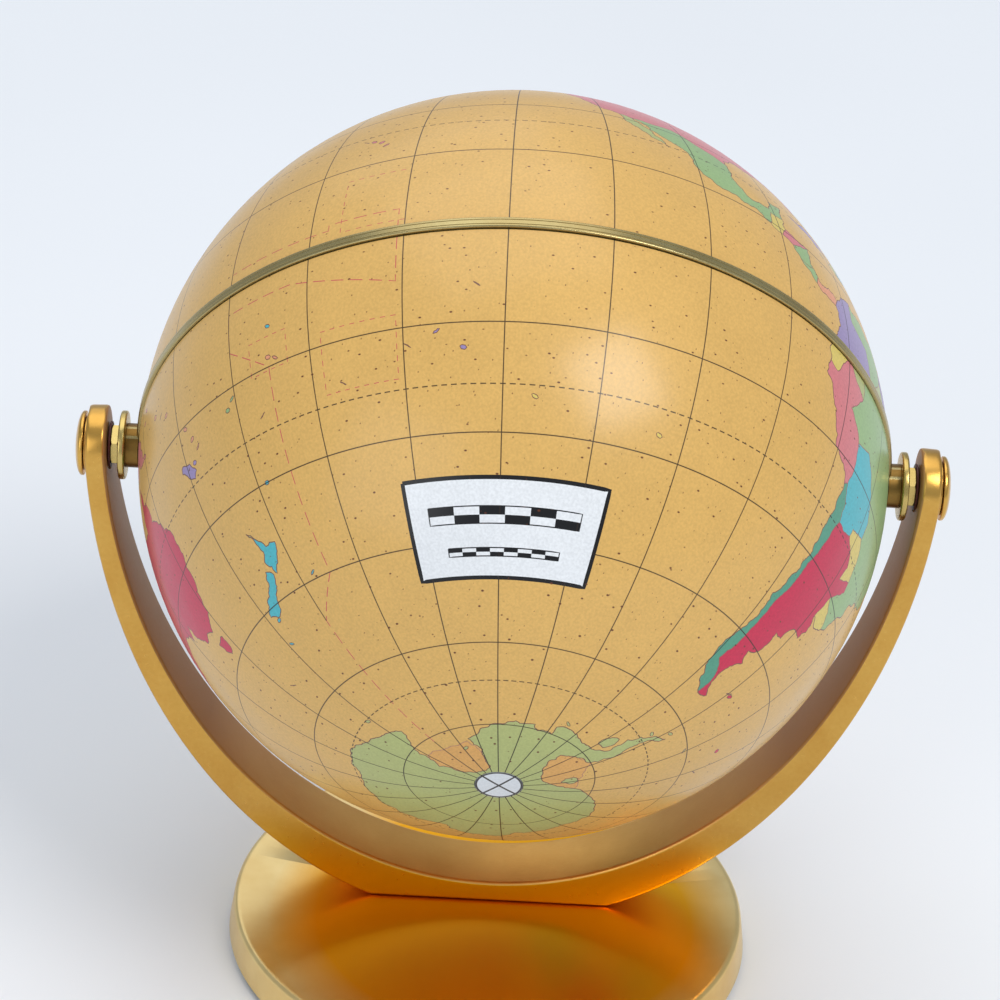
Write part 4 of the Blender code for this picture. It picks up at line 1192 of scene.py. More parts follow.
BORDERS = [
    [(-124, 48.9), (-110, 49), (-95, 49), (-89.5, 48), (-84.5, 46.5), (-82.5, 42.3), (-79, 43.2),
     (-75, 45), (-71, 45.2), (-69, 47.3), (-67, 44.5)],
    [(-141, 70.5), (-141, 60.3), (-135.5, 59.5), (-130, 54.5)],
    [(-117.8, 32.5), (-111, 31.3), (-106.5, 31.8), (-103, 29.2), (-99.5, 27.5), (-96.5, 25.8)],
    [(-92.5, 14), (-91, 17.8), (-87.7, 18.3)],
    [(-90, 13), (-89.3, 14.4), (-88, 16.2)],
    [(-87.8, 12.8), (-85.5, 14), (-82.8, 15.2)],
    [(-86.2, 10.9), (-83.3, 10.9)],
    [(-83, 7.9), (-82.3, 9.8)],
    [(-71.5, 12.5), (-72.5, 8), (-67.5, 6.2), (-67, 1.2)],
    [(-79.5, 1.3), (-75.3, -0.1), (-73, -2.2), (-70, -4.2)],
    [(-80.9, -3.5), (-78.5, -4.5), (-75.3, -0.1)],
    [(-70, -4.2), (-69.5, 1), (-67, 1.2), (-64, 2), (-60.7, 5.2), (-59.7, 8.8)],
    [(-60.7, 5.2), (-58.5, 1.5), (-54.5, 2.3), (-51, 4.4)],
    [(-57.2, 6.4), (-57, 2)],
    [(-53.9, 6.3), (-54.5, 2.3)],
    [(-70, -4.2), (-73.5, -7.5), (-70.6, -9.5), (-69.5, -11), (-69, -16), (-69.5, -17.5),
     (-70.9, -18.5)],
    [(-69.5, -17.5), (-68, -20), (-67.5, -22.8), (-68.5, -26.5), (-70, -31), (-70.6, -36),
     (-71.8, -42), (-72, -47), (-73, -50), (-69.5, -52), (-68.6, -53.5), (-68.6, -56)],
    [(-69.5, -11), (-65.3, -10), (-60.5, -13.8), (-58, -17), (-58, -20), (-62.5, -21),
     (-62.6, -22.2), (-67.5, -22.8)],
    [(-62.6, -22.2), (-58, -25), (-58.5, -27.3), (-54.6, -25.6), (-55.8, -22.3), (-58, -20)],
    [(-54.6, -25.6), (-54, -27), (-57.6, -30.2), (-58.4, -34.5)],
    [(-57.6, -30.2), (-55, -31.5), (-53, -33.8)],
    [(-2, 35.7), (-2, 32), (-8.7, 28.7), (-8.7, 26), (-12, 23.4), (-13, 21.3), (-17.5, 21)],
    [(8.5, 37.5), (8, 33), (10, 30), (10, 26), (12, 23.5), (5.7, 19.5), (3, 19.2), (-4.8, 25),
     (-8.7, 27.3)],
    [(11.8, 33.3), (10, 30)],
    [(-4.8, 25), (-6.5, 24.5), (-5.5, 15.5), (-12, 14.8), (-17, 16)],
    [(25, 32.2), (25, 22), (37.5, 22)],
    [(12, 23.5), (15, 23), (24, 19.6), (25, 22)],
    [(24, 19.6), (22.5, 15), (23, 11), (27.4, 5), (18.5, 4.5), (16.2, 2.2)],
    [(15, 23), (13.5, 13.7), (11, 7), (8.5, 4)],
    [(3.6, 11.8), (13.5, 13.7), (15.5, 8), (16.2, 2.2), (9.3, 2.3)],
    [(3, 19.2), (4, 15.5), (0.5, 14.8), (3.6, 11.8), (2.7, 6)],
    [(-12, 14.8), (-11, 12.3), (-8, 10.3), (-7.5, 4)],
    [(-8, 10.3), (-5, 10.5), (0.5, 14.8)],
    [(-5, 10.5), (-2.8, 9.5), (-3, 4.6)],
    [(-2.8, 9.5), (-2.8, 11), (0.9, 11), (3.6, 11.8)],
    [(0.9, 11), (1.2, 5.6)],
    [(-17.2, 12.4), (-11, 12.3)],
    [(15.5, 8), (23, 11)],
    [(23, 11), (33, 12), (34, 9.5), (36.5, 14.5), (38.8, 18)],
    [(27.4, 5), (31, 3.7), (34, 4.3), (35.9, 4.6), (34, 9.5)],
    [(36.5, 14.5), (40, 14.5), (42.8, 12.4)],
    [(35.9, 4.6), (41.9, 3.9), (45, 5), (48, 8), (43, 9.3), (42.6, 11.3)],
    [(41.9, 3.9), (41, -2)],
    [(34, 4.3), (34, -1), (37.5, -3), (39.6, -4.6)],
    [(31, 3.7), (29.7, -1.4), (34, -1)],
    [(29.7, -1.4), (29.3, -4.5), (30.8, -8.3), (28.5, -9.3), (29.5, -13), (27, -11.9), (22, -11.1),
     (21.8, -7.3), (17, -7.2), (12, -6)],
    [(18.5, 4.5), (16, -2), (15, -4.8), (12, -5)],
    [(13.2, 2.2), (14.5, -1.8), (10.8, -3.8)],
    [(30.8, -8.3), (33, -9.5), (34.7, -11.5), (41, -10.6)],
    [(33, -9.5), (33.3, -14), (30.2, -15), (30.4, -15.7), (27, -17.9), (25.3, -17.8)],
    [(22, -11.1), (22, -16.5), (23.4, -17.6), (25.3, -17.8), (29.4, -22.2)],
    [(11.2, -17.3), (14, -17.4), (18.5, -17.4), (23.4, -17.6)],
    [(23.4, -17.6), (21, -18.3), (20, -22), (20, -28.4), (16, -28.6)],
    [(20, -24.8), (22.7, -25.5), (25.8, -25), (29.4, -22.2), (31.3, -22.4), (32, -26.8),
     (33.3, -26.8)],
    [(31.3, -22.4), (32.8, -19), (30.4, -15.7)],
    [(-9.4, 41.9), (-6.5, 41.8), (-7.4, 36.8)],
    [(-1.8, 43.8), (0.7, 42.8), (3.5, 42.4)],
    [(7.5, 43.3), (7, 45.8), (7.6, 47.6), (8.2, 49), (6, 49.5), (2.3, 51.2)],
    [(7, 45.8), (10.5, 46.5), (13.6, 46.5), (13.8, 45.3)],
    [(7.6, 47.6), (13, 47.6), (13, 48.5), (17, 48), (18.8, 49.5), (15, 51), (12.2, 50.3), (13, 48.5)],
    [(13.6, 46.5), (16.5, 46.8), (17, 48), (22.6, 48.2), (26.5, 48.2), (30, 45.4)],
    [(15, 51), (14.2, 54.3)],
    [(6, 49.5), (6.2, 51.5), (7.1, 53.8)],
    [(8, 54.9), (10.2, 54.9)],
    [(18.8, 49.5), (22.6, 49), (24, 50.8), (23.5, 54), (19.6, 54.7)],
    [(22.6, 48.2), (22.6, 49)],
    [(23.5, 54), (28, 56), (28, 59.8)],
    [(28, 56), (32, 53.2), (31, 51.5), (24, 50.8)],
    [(32, 53.2), (35, 51), (40, 49.6), (38.3, 46.8)],
    [(16.5, 46.6), (21, 46.2), (22.6, 48.2)],
    [(14, 45.4), (16.5, 45.6), (18.8, 45.5), (19.3, 43), (18.3, 42.2)],
    [(18.8, 45.5), (21, 46.2), (22.7, 44.2), (28.9, 43.7)],
    [(22.7, 44.2), (22.5, 41.8), (20.5, 41.2), (19.7, 39.6)],
    [(22.5, 41.8), (26.3, 41.7), (28.3, 42)],
    [(26.3, 41.7), (26.1, 40.4)],
    [(11.3, 58.7), (12.3, 61.5), (14, 65), (18, 68.5), (20.5, 69.1), (26, 69.8), (28.9, 69),
     (31.2, 70)],
    [(20.5, 69.1), (24, 65.5)],
    [(28.9, 69), (29.8, 66), (31.3, 62.8), (27.8, 60)],
    [(49, 46), (47, 50), (55, 51), (61, 53.8), (70, 55.2), (77, 53.5), (87.3, 49.1), (83, 46.5),
     (80.2, 42.2), (71, 42.5), (67.5, 41.2), (61.5, 44), (56, 45), (56, 41.3), (52.5, 42)],
    [(80.2, 42.2), (74, 39.5), (74.8, 37.2), (71.5, 37), (67.8, 37.2), (61.2, 36.5), (57.5, 38),
     (53.5, 37.2)],
    [(71, 42.5), (70.5, 40.5), (68, 38.5), (67.8, 37.2)],
    [(70.5, 40.2), (74, 39.5)],
    [(56, 41.3), (60, 42), (66.5, 37.2)],
    [(61.2, 36.5), (61, 31), (61.6, 24.8)],
    [(61, 29.5), (66.3, 30), (70, 33.5), (74.8, 37.2), (78, 35.5), (75.5, 34.5), (74.5, 31),
     (70.5, 27.5), (68, 23)],
    [(78, 35.5), (79, 32), (81, 30.2), (88.5, 28), (97, 28.3), (98, 24.2), (101.2, 21.5),
     (102.2, 22.5), (105.5, 23.1), (108.4, 21.3)],
    [(80.4, 30.4), (84, 27.3), (88, 26.4), (88.5, 28)],
    [(88.8, 21.2), (88.5, 25.5), (92.2, 25), (92.4, 20.8)],
    [(92.4, 22.4), (94.5, 25), (97, 28.3)],
    [(101.2, 21.5), (100, 20.3), (97.6, 18.3), (98.9, 14), (98.4, 10.2)],
    [(100, 20.3), (101, 17.6), (104.5, 17.5), (105.5, 14.3), (102.5, 13.6), (102.8, 11.5)],
    [(102.2, 22.5), (104.7, 19.5), (107.5, 15.5), (107.5, 12.3), (104.3, 10.2)],
    [(107.4, 14.4), (105.5, 14.3)],
    [(99.5, 6.5), (102.6, 6.2)],
    [(87.3, 49.1), (91, 45), (96.4, 42.8), (105, 41.7), (111.5, 43.5), (119.8, 46.7), (116.7, 49.8),
     (108, 49.4), (102.5, 51.5), (98, 50.2), (87.3, 49.1)],
    [(116.7, 49.8), (120, 53.2), (126, 52.8), (130.8, 48), (134.7, 48.3), (131.2, 44.8),
     (130.7, 42.3), (124, 39.8)],
    [(126.2, 37.8), (128.9, 38.6)],
    [(35.6, 36), (42.4, 37.1), (44.8, 37.2), (44.5, 39.8), (43, 41.2), (41, 41.5)],
    [(39, 43.6), (46, 42), (49, 41.6)],
    [(44.5, 39.8), (49.2, 38.4)],
    [(44.8, 37.2), (46, 33), (48.3, 29.7)],
    [(42.4, 37.1), (38.8, 33.4), (39.2, 32.2), (44.7, 29.2), (48.8, 28.8)],
    [(38.8, 33.4), (35.7, 32.7), (34.8, 33.1)],
    [(39.2, 32.2), (37, 30), (34.8, 29.4), (35.7, 32.7)],
    [(34, 31.5), (34.9, 29.3)],
    [(42.5, 16.4), (44.5, 17.4), (52, 19), (55, 20), (55.7, 22), (51.4, 24.4)],
    [(52, 19), (53.3, 16.2)],
    [(55.7, 22), (56.5, 25.2)],
    [(109.2, 2), (112, 1.3), (115.5, 4), (118.2, 4.1)],
    [(141, -2.2), (141, -9.5)],
    [(-71.7, 20.2), (-71.7, 17.4)],
]

# Printed tints of the countries, each given by places that lie inside them.
COUNTRIES = {
    "olive": [(0, -80), (90, -75), (-45, -79), (-72, -71), (-120, -78), (-100, 60)],
    "crimson": [
        (-66, -38), (-67.5, -54.3), (146.5, -42), (134, -25), (105, 35), (110, 19.2), (18, 62),
        (-4, 40), (3, 28), (-12, 13.5), (36, 7.5), (25, -29), (57.5, 34),
    ],
    "teal": [
        (-70.5, -24.5), (-72.8, -44), (-71.3, -33), (80, 22), (15, 65.5), (30, 26), (18, -12),
        (133, 35.4), (141, 37), (131, 32.5), (143, 43.3), (45, 24.5),
    ],
    "cyan": [(-64.5, -17), (170, -44), (176, -39), (10, 51), (35, -6), (-71, 19), (-40, 72), (22, 52)],
    "pink": [
        (-76, -9), (-100, 40), (-150, 65), (100, 62), (142.9, 50), (60, 75.3), (33, 48.5), (-5, 32),
        (29, -1.5), (23, -3), (47, -19), (47.5, 32.5), (97, 21), (-5, 16.8), (143, -6), (16, 79),
        (-86, 15), (104, 18.5), (8, 9.5),
    ],
    "green": [
        (-103, 24), (-55, -10), (-84, 10), (2.5, 47), (67, 48), (30, 15), (38, 0.5), (17, 27),
        (-6, 7.5), (34, -14), (102.5, 5), (113, -1), (101, 0), (110, -7.1), (121, -2), (115, -0.5),
        (136, -4), (25, 45.8), (127, 40), (63.5, 33.5), (-19, 65), (24.3, -22), (-65, 7),
    ],
    "purple": [
        (-74, 4), (-85, 12.8), (165.5, -21.4), (12, 43), (27, 63.5), (103, 46.5), (-2, 12.5), (20, 15),
        (14, 5), (29, -19), (48, 15.5), (69, 29.5), (106, 16.2), (112, 3), (116, 5.5), (-80, 22),
        (127.7, 36.5), (34, 39), (-8, 39.5), (19, 47), (-58, 4.5),
    ],
    "yellow": [
        (-58, -23.5), (-56, -33), (-78.5, -1.5), (-90.5, 15.2), (101, 15), (121, 17), (125, 7.5),
        (-10, 20), (9, 17), (21, 7), (18, -21.5), (27, -14), (42, 33.5), (28, 53.5), (-2, 53),
        (60, 39.5), (22, 39.5), (45, 4), (84.2, 28.3), (9, 61.5), (-88.8, 17), (-1.5, 8),
    ],
    "salmon": [
        (-80.8, 8.1), (-68.8, 19), (90, 24), (-8, 53), (31, 8), (12, 0), (17, 4), (1.8, 9),
        (47, 40.4), (64, 41.5), (56.5, 21), (80.7, 7.5), (38, 35), (14.5, 47.3), (105, 12.8),
        (-55.5, 4), (23.5, 57), (36, 31), (40, 15.3), (-11, 9.5), (120.9, 23.7), (15.3, 49.8),
    ],
}

# Small islands, drawn as dots: tint, radius in degrees, places.
ISLES = [
    ("crimson", 0.55, [(-59.8, -51.7), (-58.6, -51.8), (-36.7, -54.3), (-29, -57.3), (154.5, -54.6)]),
    ("purple", 0.5, [(-149.4, -17.6), (-139.2, -9.5), (-145, -16), (-141, -18.5), (167.4, -20.9),
                     (69.5, -49.3), (-61, 14.5), (-61.4, 16.2)]),
    ("cyan", 0.45, [(-176.5, -44), (166.2, -50.7), (-178, -30), (168, -47), (-172.2, -9), (55.5, -21.1),
                    (-160, -21), (142.2, 27), (128, 26.5), (-89.6, -0.6), (-91.2, -0.5)]),
    ("green", 0.5, [(178, -17.8), (179.3, -16.6), (-175.2, -21.2), (57.6, -20.3), (127.8, 0.8),
                    (129.5, -3.1), (124.5, -9.3), (121, -8.6), (118, -8.6), (-77.3, 18.1)]),
    ("salmon", 0.5, [(-172.5, -13.6), (-171.2, -14.1), (159.8, -9.4), (157.5, -8.2), (161.8, -10.4),
                     (167, -15.5), (168.3, -17.7), (169.3, -19.3), (39.4, -6.2), (-23.6, 15.1)]),
    ("pink", 0.5, [(-155.5, 19.6), (-156.5, 20.8), (-158, 21.5), (-159.5, 22), (144.8, 13.5),
                   (-66.4, 18.2), (-170, 57), (-177, 51.8), (-168, 53.4), (-153.5, 57.4), (151.5, -5.5),
                   (152.5, -3.8)]),
    ("yellow", 0.5, [(-109.4, -27.1), (-130, -25), (-28, 38.6), (-25.5, 37.7), (-16.5, 28.3),
                     (-14, 28.5), (9, 40.2), (9.2, 42.2), (14, 37.6), (24.9, 35.2), (33.2, 35.1),
                     (122.8, 10.8), (124.5, 11.3)]),
    ("olive", 0.5, [(-58.5, -62.2), (-45.5, -60.6), (-63.5, -64.7), (-98, -72), (-163, -79.4),
                    (163, -66.8), (-125.5, 49.7), (-132.3, 53.2), (-110, 76.3), (-97, 73)]),
]

# The line where the date changes, which follows meridians and steps round island groups.
DATE_LINE = [
    (180, -76), (180, -51), (187.5, -45), (187.5, -15), (180, -10), (180, -4), (192, -4),
    (209, -8), (209, 4), (198, 4), (198, 3), (180, 3), (180, 47), (170, 53), (191, 65.5),
    (191, 68), (180, 74), (180, 84),
]
# Dashed boxes round island groups, as west, east, south and north edges.
ISLAND_BOXES = [(-163, -151, -22, -13), (-176, -169, -15.5, -10.5), (-160, -150, 2, 12)]

# Printed line widths, as angles seen from the ball's centre.
COAST_LINE = printed(0.15 * MM)
BORDER_LINE = printed(0.13 * MM)
DASH_LINE = printed(0.13 * MM)
FRAME_LINE = printed(0.55 * MM)
SCALE_LINE = printed(0.16 * MM)

# How far coasts and borders wander sideways, as a share of each stretch, and where that stops.
COAST_WANDER = 0.17
BORDER_WANDER = 0.09
SHORTEST_STRETCH = 0.55

# The printed surface, in degrees from its pole, and the grid that keeps its faces small.
RIM_R = degrees(acos(RIM_HALF_GAP / GLOBE_R))
POLE_R = degrees(asin(CAP_SEAT_R / GLOBE_R))
GRID_STEP = 2.4
RIM_SIDES = 180
POLE_SIDES = 48
# The map's maker printed middle latitudes up to this many degrees too far from the equator.
PRINT_STRETCH = 2.1

# The white panel on the ocean, which holds two plain scale bars: longitudes, latitudes and parts.
PANEL_LON = (-152.5, -115.5)
PANEL_LAT = (-50.0, -36.0)
SCALE_BARS = [((-148.5, -119.5), (-42.3, -39.9), 6), ((-145.5, -122.5), (-46.9, -45.7), 8)]


def direction(lon, lat):
    """Unit vector of a place, with the north pole on +Z."""
    lon, lat = radians(lon), radians(lat)
    return Vector((cos(lat) * cos(lon), cos(lat) * sin(lon), sin(lat)))


def print_latitude(lat):
    """Where on the ball the map's maker printed a latitude, in degrees."""
    return lat + PRINT_STRETCH * sin(radians(2 * lat))


def map_latitude(shown):
    """The latitude that is printed at an angle above the ball's own equator, in degrees."""
    lat = shown
    for _ in range(3):
        lat -= print_latitude(lat) - shown
    return lat


def to_plane(place, pole):
    """Lay a place out flat round a pole: degrees from the pole, at the angle of its longitude."""
    lat = degrees(asin(max(-1.0, min(1.0, place.z)))) * pole
    out = 90 - print_latitude(lat)
    around = atan2(place.y, place.x) * pole
    return Vector((out * cos(around), out * sin(around)))


def ball_and_map_directions(point, pole):
    """Undo to_plane: the direction on the ball, and the direction of the place printed there."""
    shown = 90 - hypot(point[0], point[1])
    lon = degrees(atan2(point[1], point[0])) * pole
    return direction(lon, shown * pole), direction(lon, map_latitude(shown) * pole)


def wander(first, last, amount):
    """Points from first towards last, without last, that stray sideways by a share of the length.

    The ends seed the chance, so a coast that two shapes share strays the same way in both.
    """
    if (last - first).length < radians(SHORTEST_STRETCH):
        return [first]
    near, far = (tuple(round(c, 5) for c in end) for end in (first, last))
    ends = sorted((near, far))
    chance = random.Random(str(ends)).uniform(-1, 1)
    if near != ends[0]:
        chance = -chance
    middle = ((first + last) / 2).normalized()
    side = middle.cross(last - first)
    middle = (middle + side * chance * amount).normalized()
    return wander(first, middle, amount) + wander(middle, last, amount)


def natural_line(places, amount, closed):
    """A coast or border through places, with its wandering detail."""
    points = [direction(*place) for place in places]
    ends = points[1:] + points[:1] if closed else points[1:]
    line = []
    for first, last in zip(points, ends):
        line += wander(first, last, amount)
    return line if closed else line + [points[-1]]


def ruled_line(places, step):
    """Points along straight runs of longitude and latitude."""
    line = []
    for (lon_a, lat_a), (lon_b, lat_b) in zip(places, places[1:]):
        steps = max(1, round(hypot(lon_b - lon_a, lat_b - lat_a) / step))
        for i in range(steps):
            share = i / steps
            line.append(direction(lon_a + (lon_b - lon_a) * share, lat_a + (lat_b - lat_a) * share))
    return line + [direction(*places[-1])]


def ruled_box(west, east, south, north, step=1.0):
    """Points round a box between meridians and parallels, with the first one again at the end."""
    return ruled_line([(west, north), (east, north), (east, south), (west, south), (west, north)], step)


def is_convex(flat):
    """Whether a four-sided shape turns the same way at every corner."""
    sides = [after - here for here, after in zip(flat, flat[1:] + flat[:1])]
    turns = [side.cross(following) for side, following in zip(sides, sides[1:] + sides[:1])]
    return min(turns) > 0 or max(turns) < 0


class FlatMap:
    """Shapes laid out round one pole, ready to be cut into triangles."""

    def __init__(self, pole):
        self.pole = pole
        self.points = []
        self.faces = []
        self.marks = []

    def near(self, line, margin=3.0):
        """Whether any of a line's points is on this half of the ball, or close to it."""
        return any(to_plane(place, self.pole).length < RIM_R + margin for place in line)

    def add_flat(self, flat, mark):
        """Lay a shape that is flat already, the right way round."""
        area = sum(a.cross(b) for a, b in zip(flat, flat[1:] + flat[:1]))
        if abs(area) < 1e-6:
            return
        if area < 0:
            flat = flat[::-1]
        start = len(self.points)
        self.points += flat
        self.faces.append(list(range(start, start + len(flat))))
        self.marks.append(mark)

    def add_shape(self, line, mark):
        """Lay the inside of a closed line."""
        if self.near(line):
            self.add_flat([to_plane(place, self.pole) for place in line], mark)

    def add_stroke(self, line, width, mark, closed=False):
        """Lay a ribbon of short four-sided pieces along a line."""
        if not self.near(line):
            return
        count = len(line)
        half = radians(width) / 2
        edges = []
        for i, place in enumerate(line):
            before = line[i - 1] if closed or i > 0 else place
            after = line[(i + 1) % count] if closed or i < count - 1 else place
            side = place.cross(after - before).normalized() * half
            edges.append(((place + side).normalized(), (place - side).normalized()))
        ends = list(range(1, count)) + ([0] if closed else [])
        for i, j in enumerate(ends):
            if not self.near((line[i], line[j]), 0.5):
                continue
            corners = (edges[i][0], edges[j][0], edges[j][1], edges[i][1])
            flat = [to_plane(corner, self.pole) for corner in corners]
            if not is_convex(flat):
                side = line[i].cross(line[j] - line[i]).normalized() * half
                corners = (line[i] + side, line[j] + side, line[j] - side, line[i] - side)
                flat = [to_plane(corner.normalized(), self.pole) for corner in corners]
            self.add_flat(flat, mark)

    def add_outlined(self, places, mark, width, edge_mark):
        """Lay a natural shape with a stroke along its edge."""
        line = natural_line(places, COAST_WANDER, True)
        self.add_shape(line, mark)
        self.add_stroke(line, width, edge_mark, True)

    def add_dashes(self, line, width, mark, on, off):
        """Lay pieces of a ribbon along a line, with gaps."""
        for i in range(0, len(line) - on, on + off):
            self.add_stroke(line[i:i + on + 1], width, mark)

    def triangles(self):
        """Cut everything along every edge.  Returns points, triangles and the marks on each."""
        def ring(radius, sides):
            return [Vector((radius * cos(2 * pi * i / sides), radius * sin(2 * pi * i / sides)))
                    for i in range(sides)]
        self.add_flat(ring(RIM_R, RIM_SIDES), "map")
        self.add_flat(ring(POLE_R, POLE_SIDES), "pole")
        radius = POLE_R + GRID_STEP
        while radius < RIM_R - GRID_STEP / 2:
            self.points += ring(radius, round(2 * pi * degrees(sin(radians(radius))) / GRID_STEP))
            radius += GRID_STEP
        points, _, faces, _, _, origins = delaunay_2d_cdt(self.points, [], self.faces, 0, 1e-5, True)
        kept = []
        marks = []
        for face, origin in zip(faces, origins):
            found = {self.marks[i] for i in origin}
            if "map" in found and "pole" not in found:
                kept.append(face)
                marks.append(found)
        return points, kept, marks


# What closed outlines stand for: the mark of their inside, and the width and mark of their edge.
OUTLINED = [
    (LANDS, "land", COAST_LINE, "coast"),
    (LAKES, "lake", COAST_LINE, "coast"),
    (ICE_SHELVES, "shelf", DASH_LINE, "shelf_line"),
]


def draw_map(pole):
    """Lay out everything that is printed on one half of the ball."""
    flat = FlatMap(pole)
    for outlines, mark, width, edge_mark in OUTLINED:
        for places in outlines.values():
            flat.add_outlined(places, mark, width, edge_mark)
    for places in BORDERS:
        flat.add_stroke(natural_line(places, BORDER_WANDER, False), BORDER_LINE, "border")
    for look, radius, places in ISLES:
        for lon, lat in places:
            stretch = 1 / cos(radians(lat))
            corners = [(lon + radius * stretch * cos(turn), lat + radius * 0.7 * sin(turn + 0.6 * lon))
                       for turn in (0, 1.1, 2.2, 3.4, 4.3, 5.3)]
            flat.add_outlined(corners, f"isle {look}", COAST_LINE * 0.8, "coast")
    flat.add_dashes(ruled_line(DATE_LINE, 1.0), DASH_LINE, "date_line", 2, 1)
    for box in ISLAND_BOXES:
        flat.add_dashes(ruled_box(*box, 0.8), DASH_LINE * 0.8, "date_line", 1, 1)
    draw_panel(flat)
    return flat


def draw_panel(flat):
    """White panel with a black frame, which holds scale bars in place of lettering."""
    edge = ruled_box(*PANEL_LON, *PANEL_LAT)
    flat.add_shape(edge[:-1], "panel")
    flat.add_stroke(edge, FRAME_LINE, "frame")
    for lons, lats, parts in SCALE_BARS:
        draw_scale_bar(flat, lons, lats, parts)


def draw_scale_bar(flat, lons, lats, parts):
    """Outlined bar with every other half of its parts dark."""
    west, east = lons
    south, north = lats
    middle = (south + north) / 2
    flat.add_stroke(ruled_box(west, east, south, north), SCALE_LINE, "frame")
    part = (east - west) / parts
    for i in range(parts):
        low, high = (middle, north) if i % 2 == 0 else (south, middle)
        flat.add_shape(ruled_box(west + part * i, west + part * (i + 1), low, high)[:-1], "frame")


def land_regions(faces, marks):
    """Number the stretches of land that borders and coasts divide."""
    is_land = ["land" in found and not found & {"border", "coast", "lake"} for found in marks]
    sides = {}
    for index, face in enumerate(faces):
        if is_land[index]:
            for a, b in zip(face, face[1:] + face[:1]):
                sides.setdefault((min(a, b), max(a, b)), []).append(index)
    neighbours = {index: [] for index, land in enumerate(is_land) if land}
    for pair in sides.values():
        if len(pair) == 2:
            neighbours[pair[0]].append(pair[1])
            neighbours[pair[1]].append(pair[0])
    region = {}
    for start in neighbours:
        if start in region:
            continue
        waiting = [start]
        region[start] = start
        while waiting:
            for other in neighbours[waiting.pop()]:
                if other not in region:
                    region[other] = start
                    waiting.append(other)
    return region


def region_tints(points, faces, region, pole):
    """Give each stretch of land the tint of the country whose place lies in it."""
    middles = [(index, sum((points[corner] for corner in faces[index]), Vector((0, 0))) / 3)
               for index in region]
    tints = {}
    for look, places in COUNTRIES.items():
        for place in places:
            if place[1] * pole < -2:
                continue
            spot = to_plane(direction(*place), pole)
            index, _ = min(middles, key=lambda entry: (entry[1] - spot).length_squared)
            tints.setdefault(region[index], look)
    return tints


def face_tint(index, found, region, tints):
    """Name of the tint of one face, from what is printed on it.  The topmost mark wins."""
    isles = [(mark, mark.split()[1]) for mark in found if mark.startswith("isle ")]
    land = "border" if "border" in found else tints.get(region.get(index), "olive")
    layers = [
        ("frame", "ink"), ("panel", "white"), ("coast", "coast"), *isles, ("lake", "sea"), ("land", land),
        ("date_line", "date_line"), ("shelf_line", "shelf_line"), ("shelf", "shelf"),
    ]
    return next((look for mark, look in layers if mark in found), "sea")


def boundary_loops(faces):
    """Chains of points along the open edges, in order, the shortest first."""
    open_edges = {}
    for face in faces:
        for a, b in zip(face, face[1:] + face[:1]):
            if (b, a) in open_edges:
                del open_edges[(b, a)]
            else:
                open_edges[(a, b)] = True
    following = {a: b for a, b in open_edges}
    loops = []
    while following:
        start = next(iter(following))
        loop = [start]
        while (after := following.pop(loop[-1])) != start:
            loop.append(after)
        loops.append(loop)
    return sorted(loops, key=len)


def printed_faces(pole):
    """The map of one half of the ball: flat points, the faces between them and each face's tint."""
    points, faces, marks = draw_map(pole).triangles()
    region = land_regions(faces, marks)
    tints = region_tints(points, faces, region, pole)
    looks = [face_tint(index, found, region, tints) for index, found in enumerate(marks)]
    used = sorted({corner for face in faces for corner in face})
    renumber = {old: new for new, old in enumerate(used)}
    faces = [[renumber[corner] for corner in face] for face in faces]
    return [points[old] for old in used], faces, looks


def inside_stations():
    """The shell's inside from the rim up, and its pole seat inwards, as radii and heights."""
    inner_r = GLOBE_R - SHELL_WALL
    low, high = asin(RIM_HALF_GAP / inner_r), acos(BOSS_R / inner_r)
    turns = [low + (high - low) * i / 8 for i in range(9)]
    dome = [(inner_r * cos(turn), inner_r * sin(turn)) for turn in turns]
    boss_top = sqrt(inner_r ** 2 - BOSS_R ** 2)
    seat = [
        (CAP_SEAT_R, CAP_SEAT_Z), (SCREW_SEAT_R, CAP_SEAT_Z), (SCREW_SEAT_R, SCREW_SEAT_Z),
        (SCREW_HOLE_R, SCREW_SEAT_Z), (SCREW_HOLE_R, SPINDLE_SEAT_Z), (SPINDLE_SEAT_R, SPINDLE_SEAT_Z),
        (SPINDLE_SEAT_R, BOSS_END_Z), (BOSS_R, BOSS_END_Z), (BOSS_R, boss_top - 0.05 * MM),
    ]
    return dome, seat


def loft(points, faces, loop, ways, stations, pole):
    """Carry a loop of points on, each its own way from the axis, through stations of (radius, height)."""
    ways = [ways[corner].xy.normalized() for corner in loop]
    for radius, height in stations:
        new_loop = list(range(len(points), len(points) + len(loop)))
        points += [Vector((way.x * radius, way.y * radius, height * pole)) for way in ways]
        for i in range(len(loop)):
            j = (i + 1) % len(loop)
            faces.append([loop[j], loop[i], new_loop[i], new_loop[j]])
        loop = new_loop


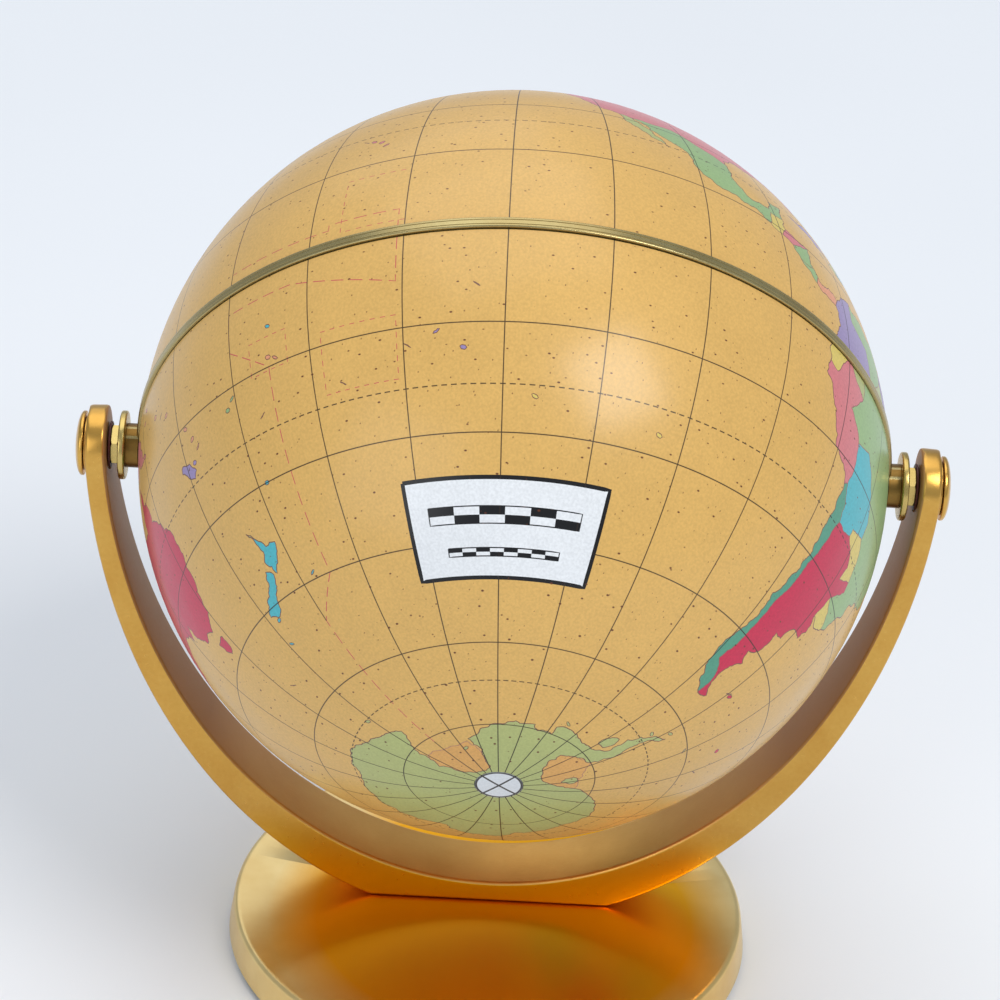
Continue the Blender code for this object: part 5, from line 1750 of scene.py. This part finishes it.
def close_shell(mesh):
    """Bridge the two open ends of the inside, where the dome meets the boss."""
    bm = bmesh.new()
    bm.from_mesh(mesh)
    bmesh.ops.bridge_loops(bm, edges=[edge for edge in bm.edges if edge.is_boundary])
    bm.to_mesh(mesh)
    bm.free()


def print_on(mesh, looks, map_ways):
    """Colour the printed faces, and tell the printed points which place of the map they carry.

    The inside has no place on the map, so the graticule's ink covers it: the seam between the halves
    stays dark, a painted shade.
    """
    colours = []
    for polygon in mesh.polygons:
        colour = TINTS[looks[polygon.index] if polygon.index < len(looks) else "plastic"]
        colours += (*colour, 1.0) * polygon.loop_total
    mesh.attributes.new("map_colour", "FLOAT_COLOR", "CORNER").data.foreach_set("color", colours)
    places = [part for way in map_ways for part in way]
    places += [0.0] * (3 * (len(mesh.vertices) - len(map_ways)))
    mesh.attributes.new("map_place", "FLOAT_VECTOR", "POINT").data.foreach_set("vector", places)


def round_normals(mesh, printed_count):
    """Shade the printed faces as the true ball, however fine the map has cut them."""
    normals = []
    for polygon in mesh.polygons:
        for corner in polygon.vertices:
            radial = (mesh.vertices[corner].co - CENTRE).normalized()
            normals.append(radial if polygon.index < printed_count else Vector())
    mesh.normals_split_custom_set(normals)


def hemisphere_mesh(name, pole):
    """Half of the ball: the printed outside as cut by the map, the rim, the inside and the pole seat."""
    flat_points, faces, looks = printed_faces(pole)
    ball_ways, map_ways = zip(*(ball_and_map_directions(point, pole) for point in flat_points))
    points = [way * GLOBE_R for way in ball_ways]
    pole_loop, rim_loop = boundary_loops(faces)
    dome, seat = inside_stations()
    loft(points, faces, rim_loop, map_ways, dome, pole)
    loft(points, faces, pole_loop, map_ways, seat, pole)
    mesh = bpy.data.meshes.new(name)
    mesh.from_pydata(points, [], faces)
    close_shell(mesh)
    print_on(mesh, looks, map_ways)
    mesh.transform(BALL_PLACE @ Matrix.Rotation(radians(SPIN_AT_REST), 4, "Z"))
    shade(mesh, 35)
    round_normals(mesh, len(looks))
    return mesh


build_camera()
build_floor()
build_light()
mats = make_materials()
build_base(mats)
build_fork(mats)
build_pivots(mats)
build_ring(mats)
build_ball(mats)
finish_carried(mats)
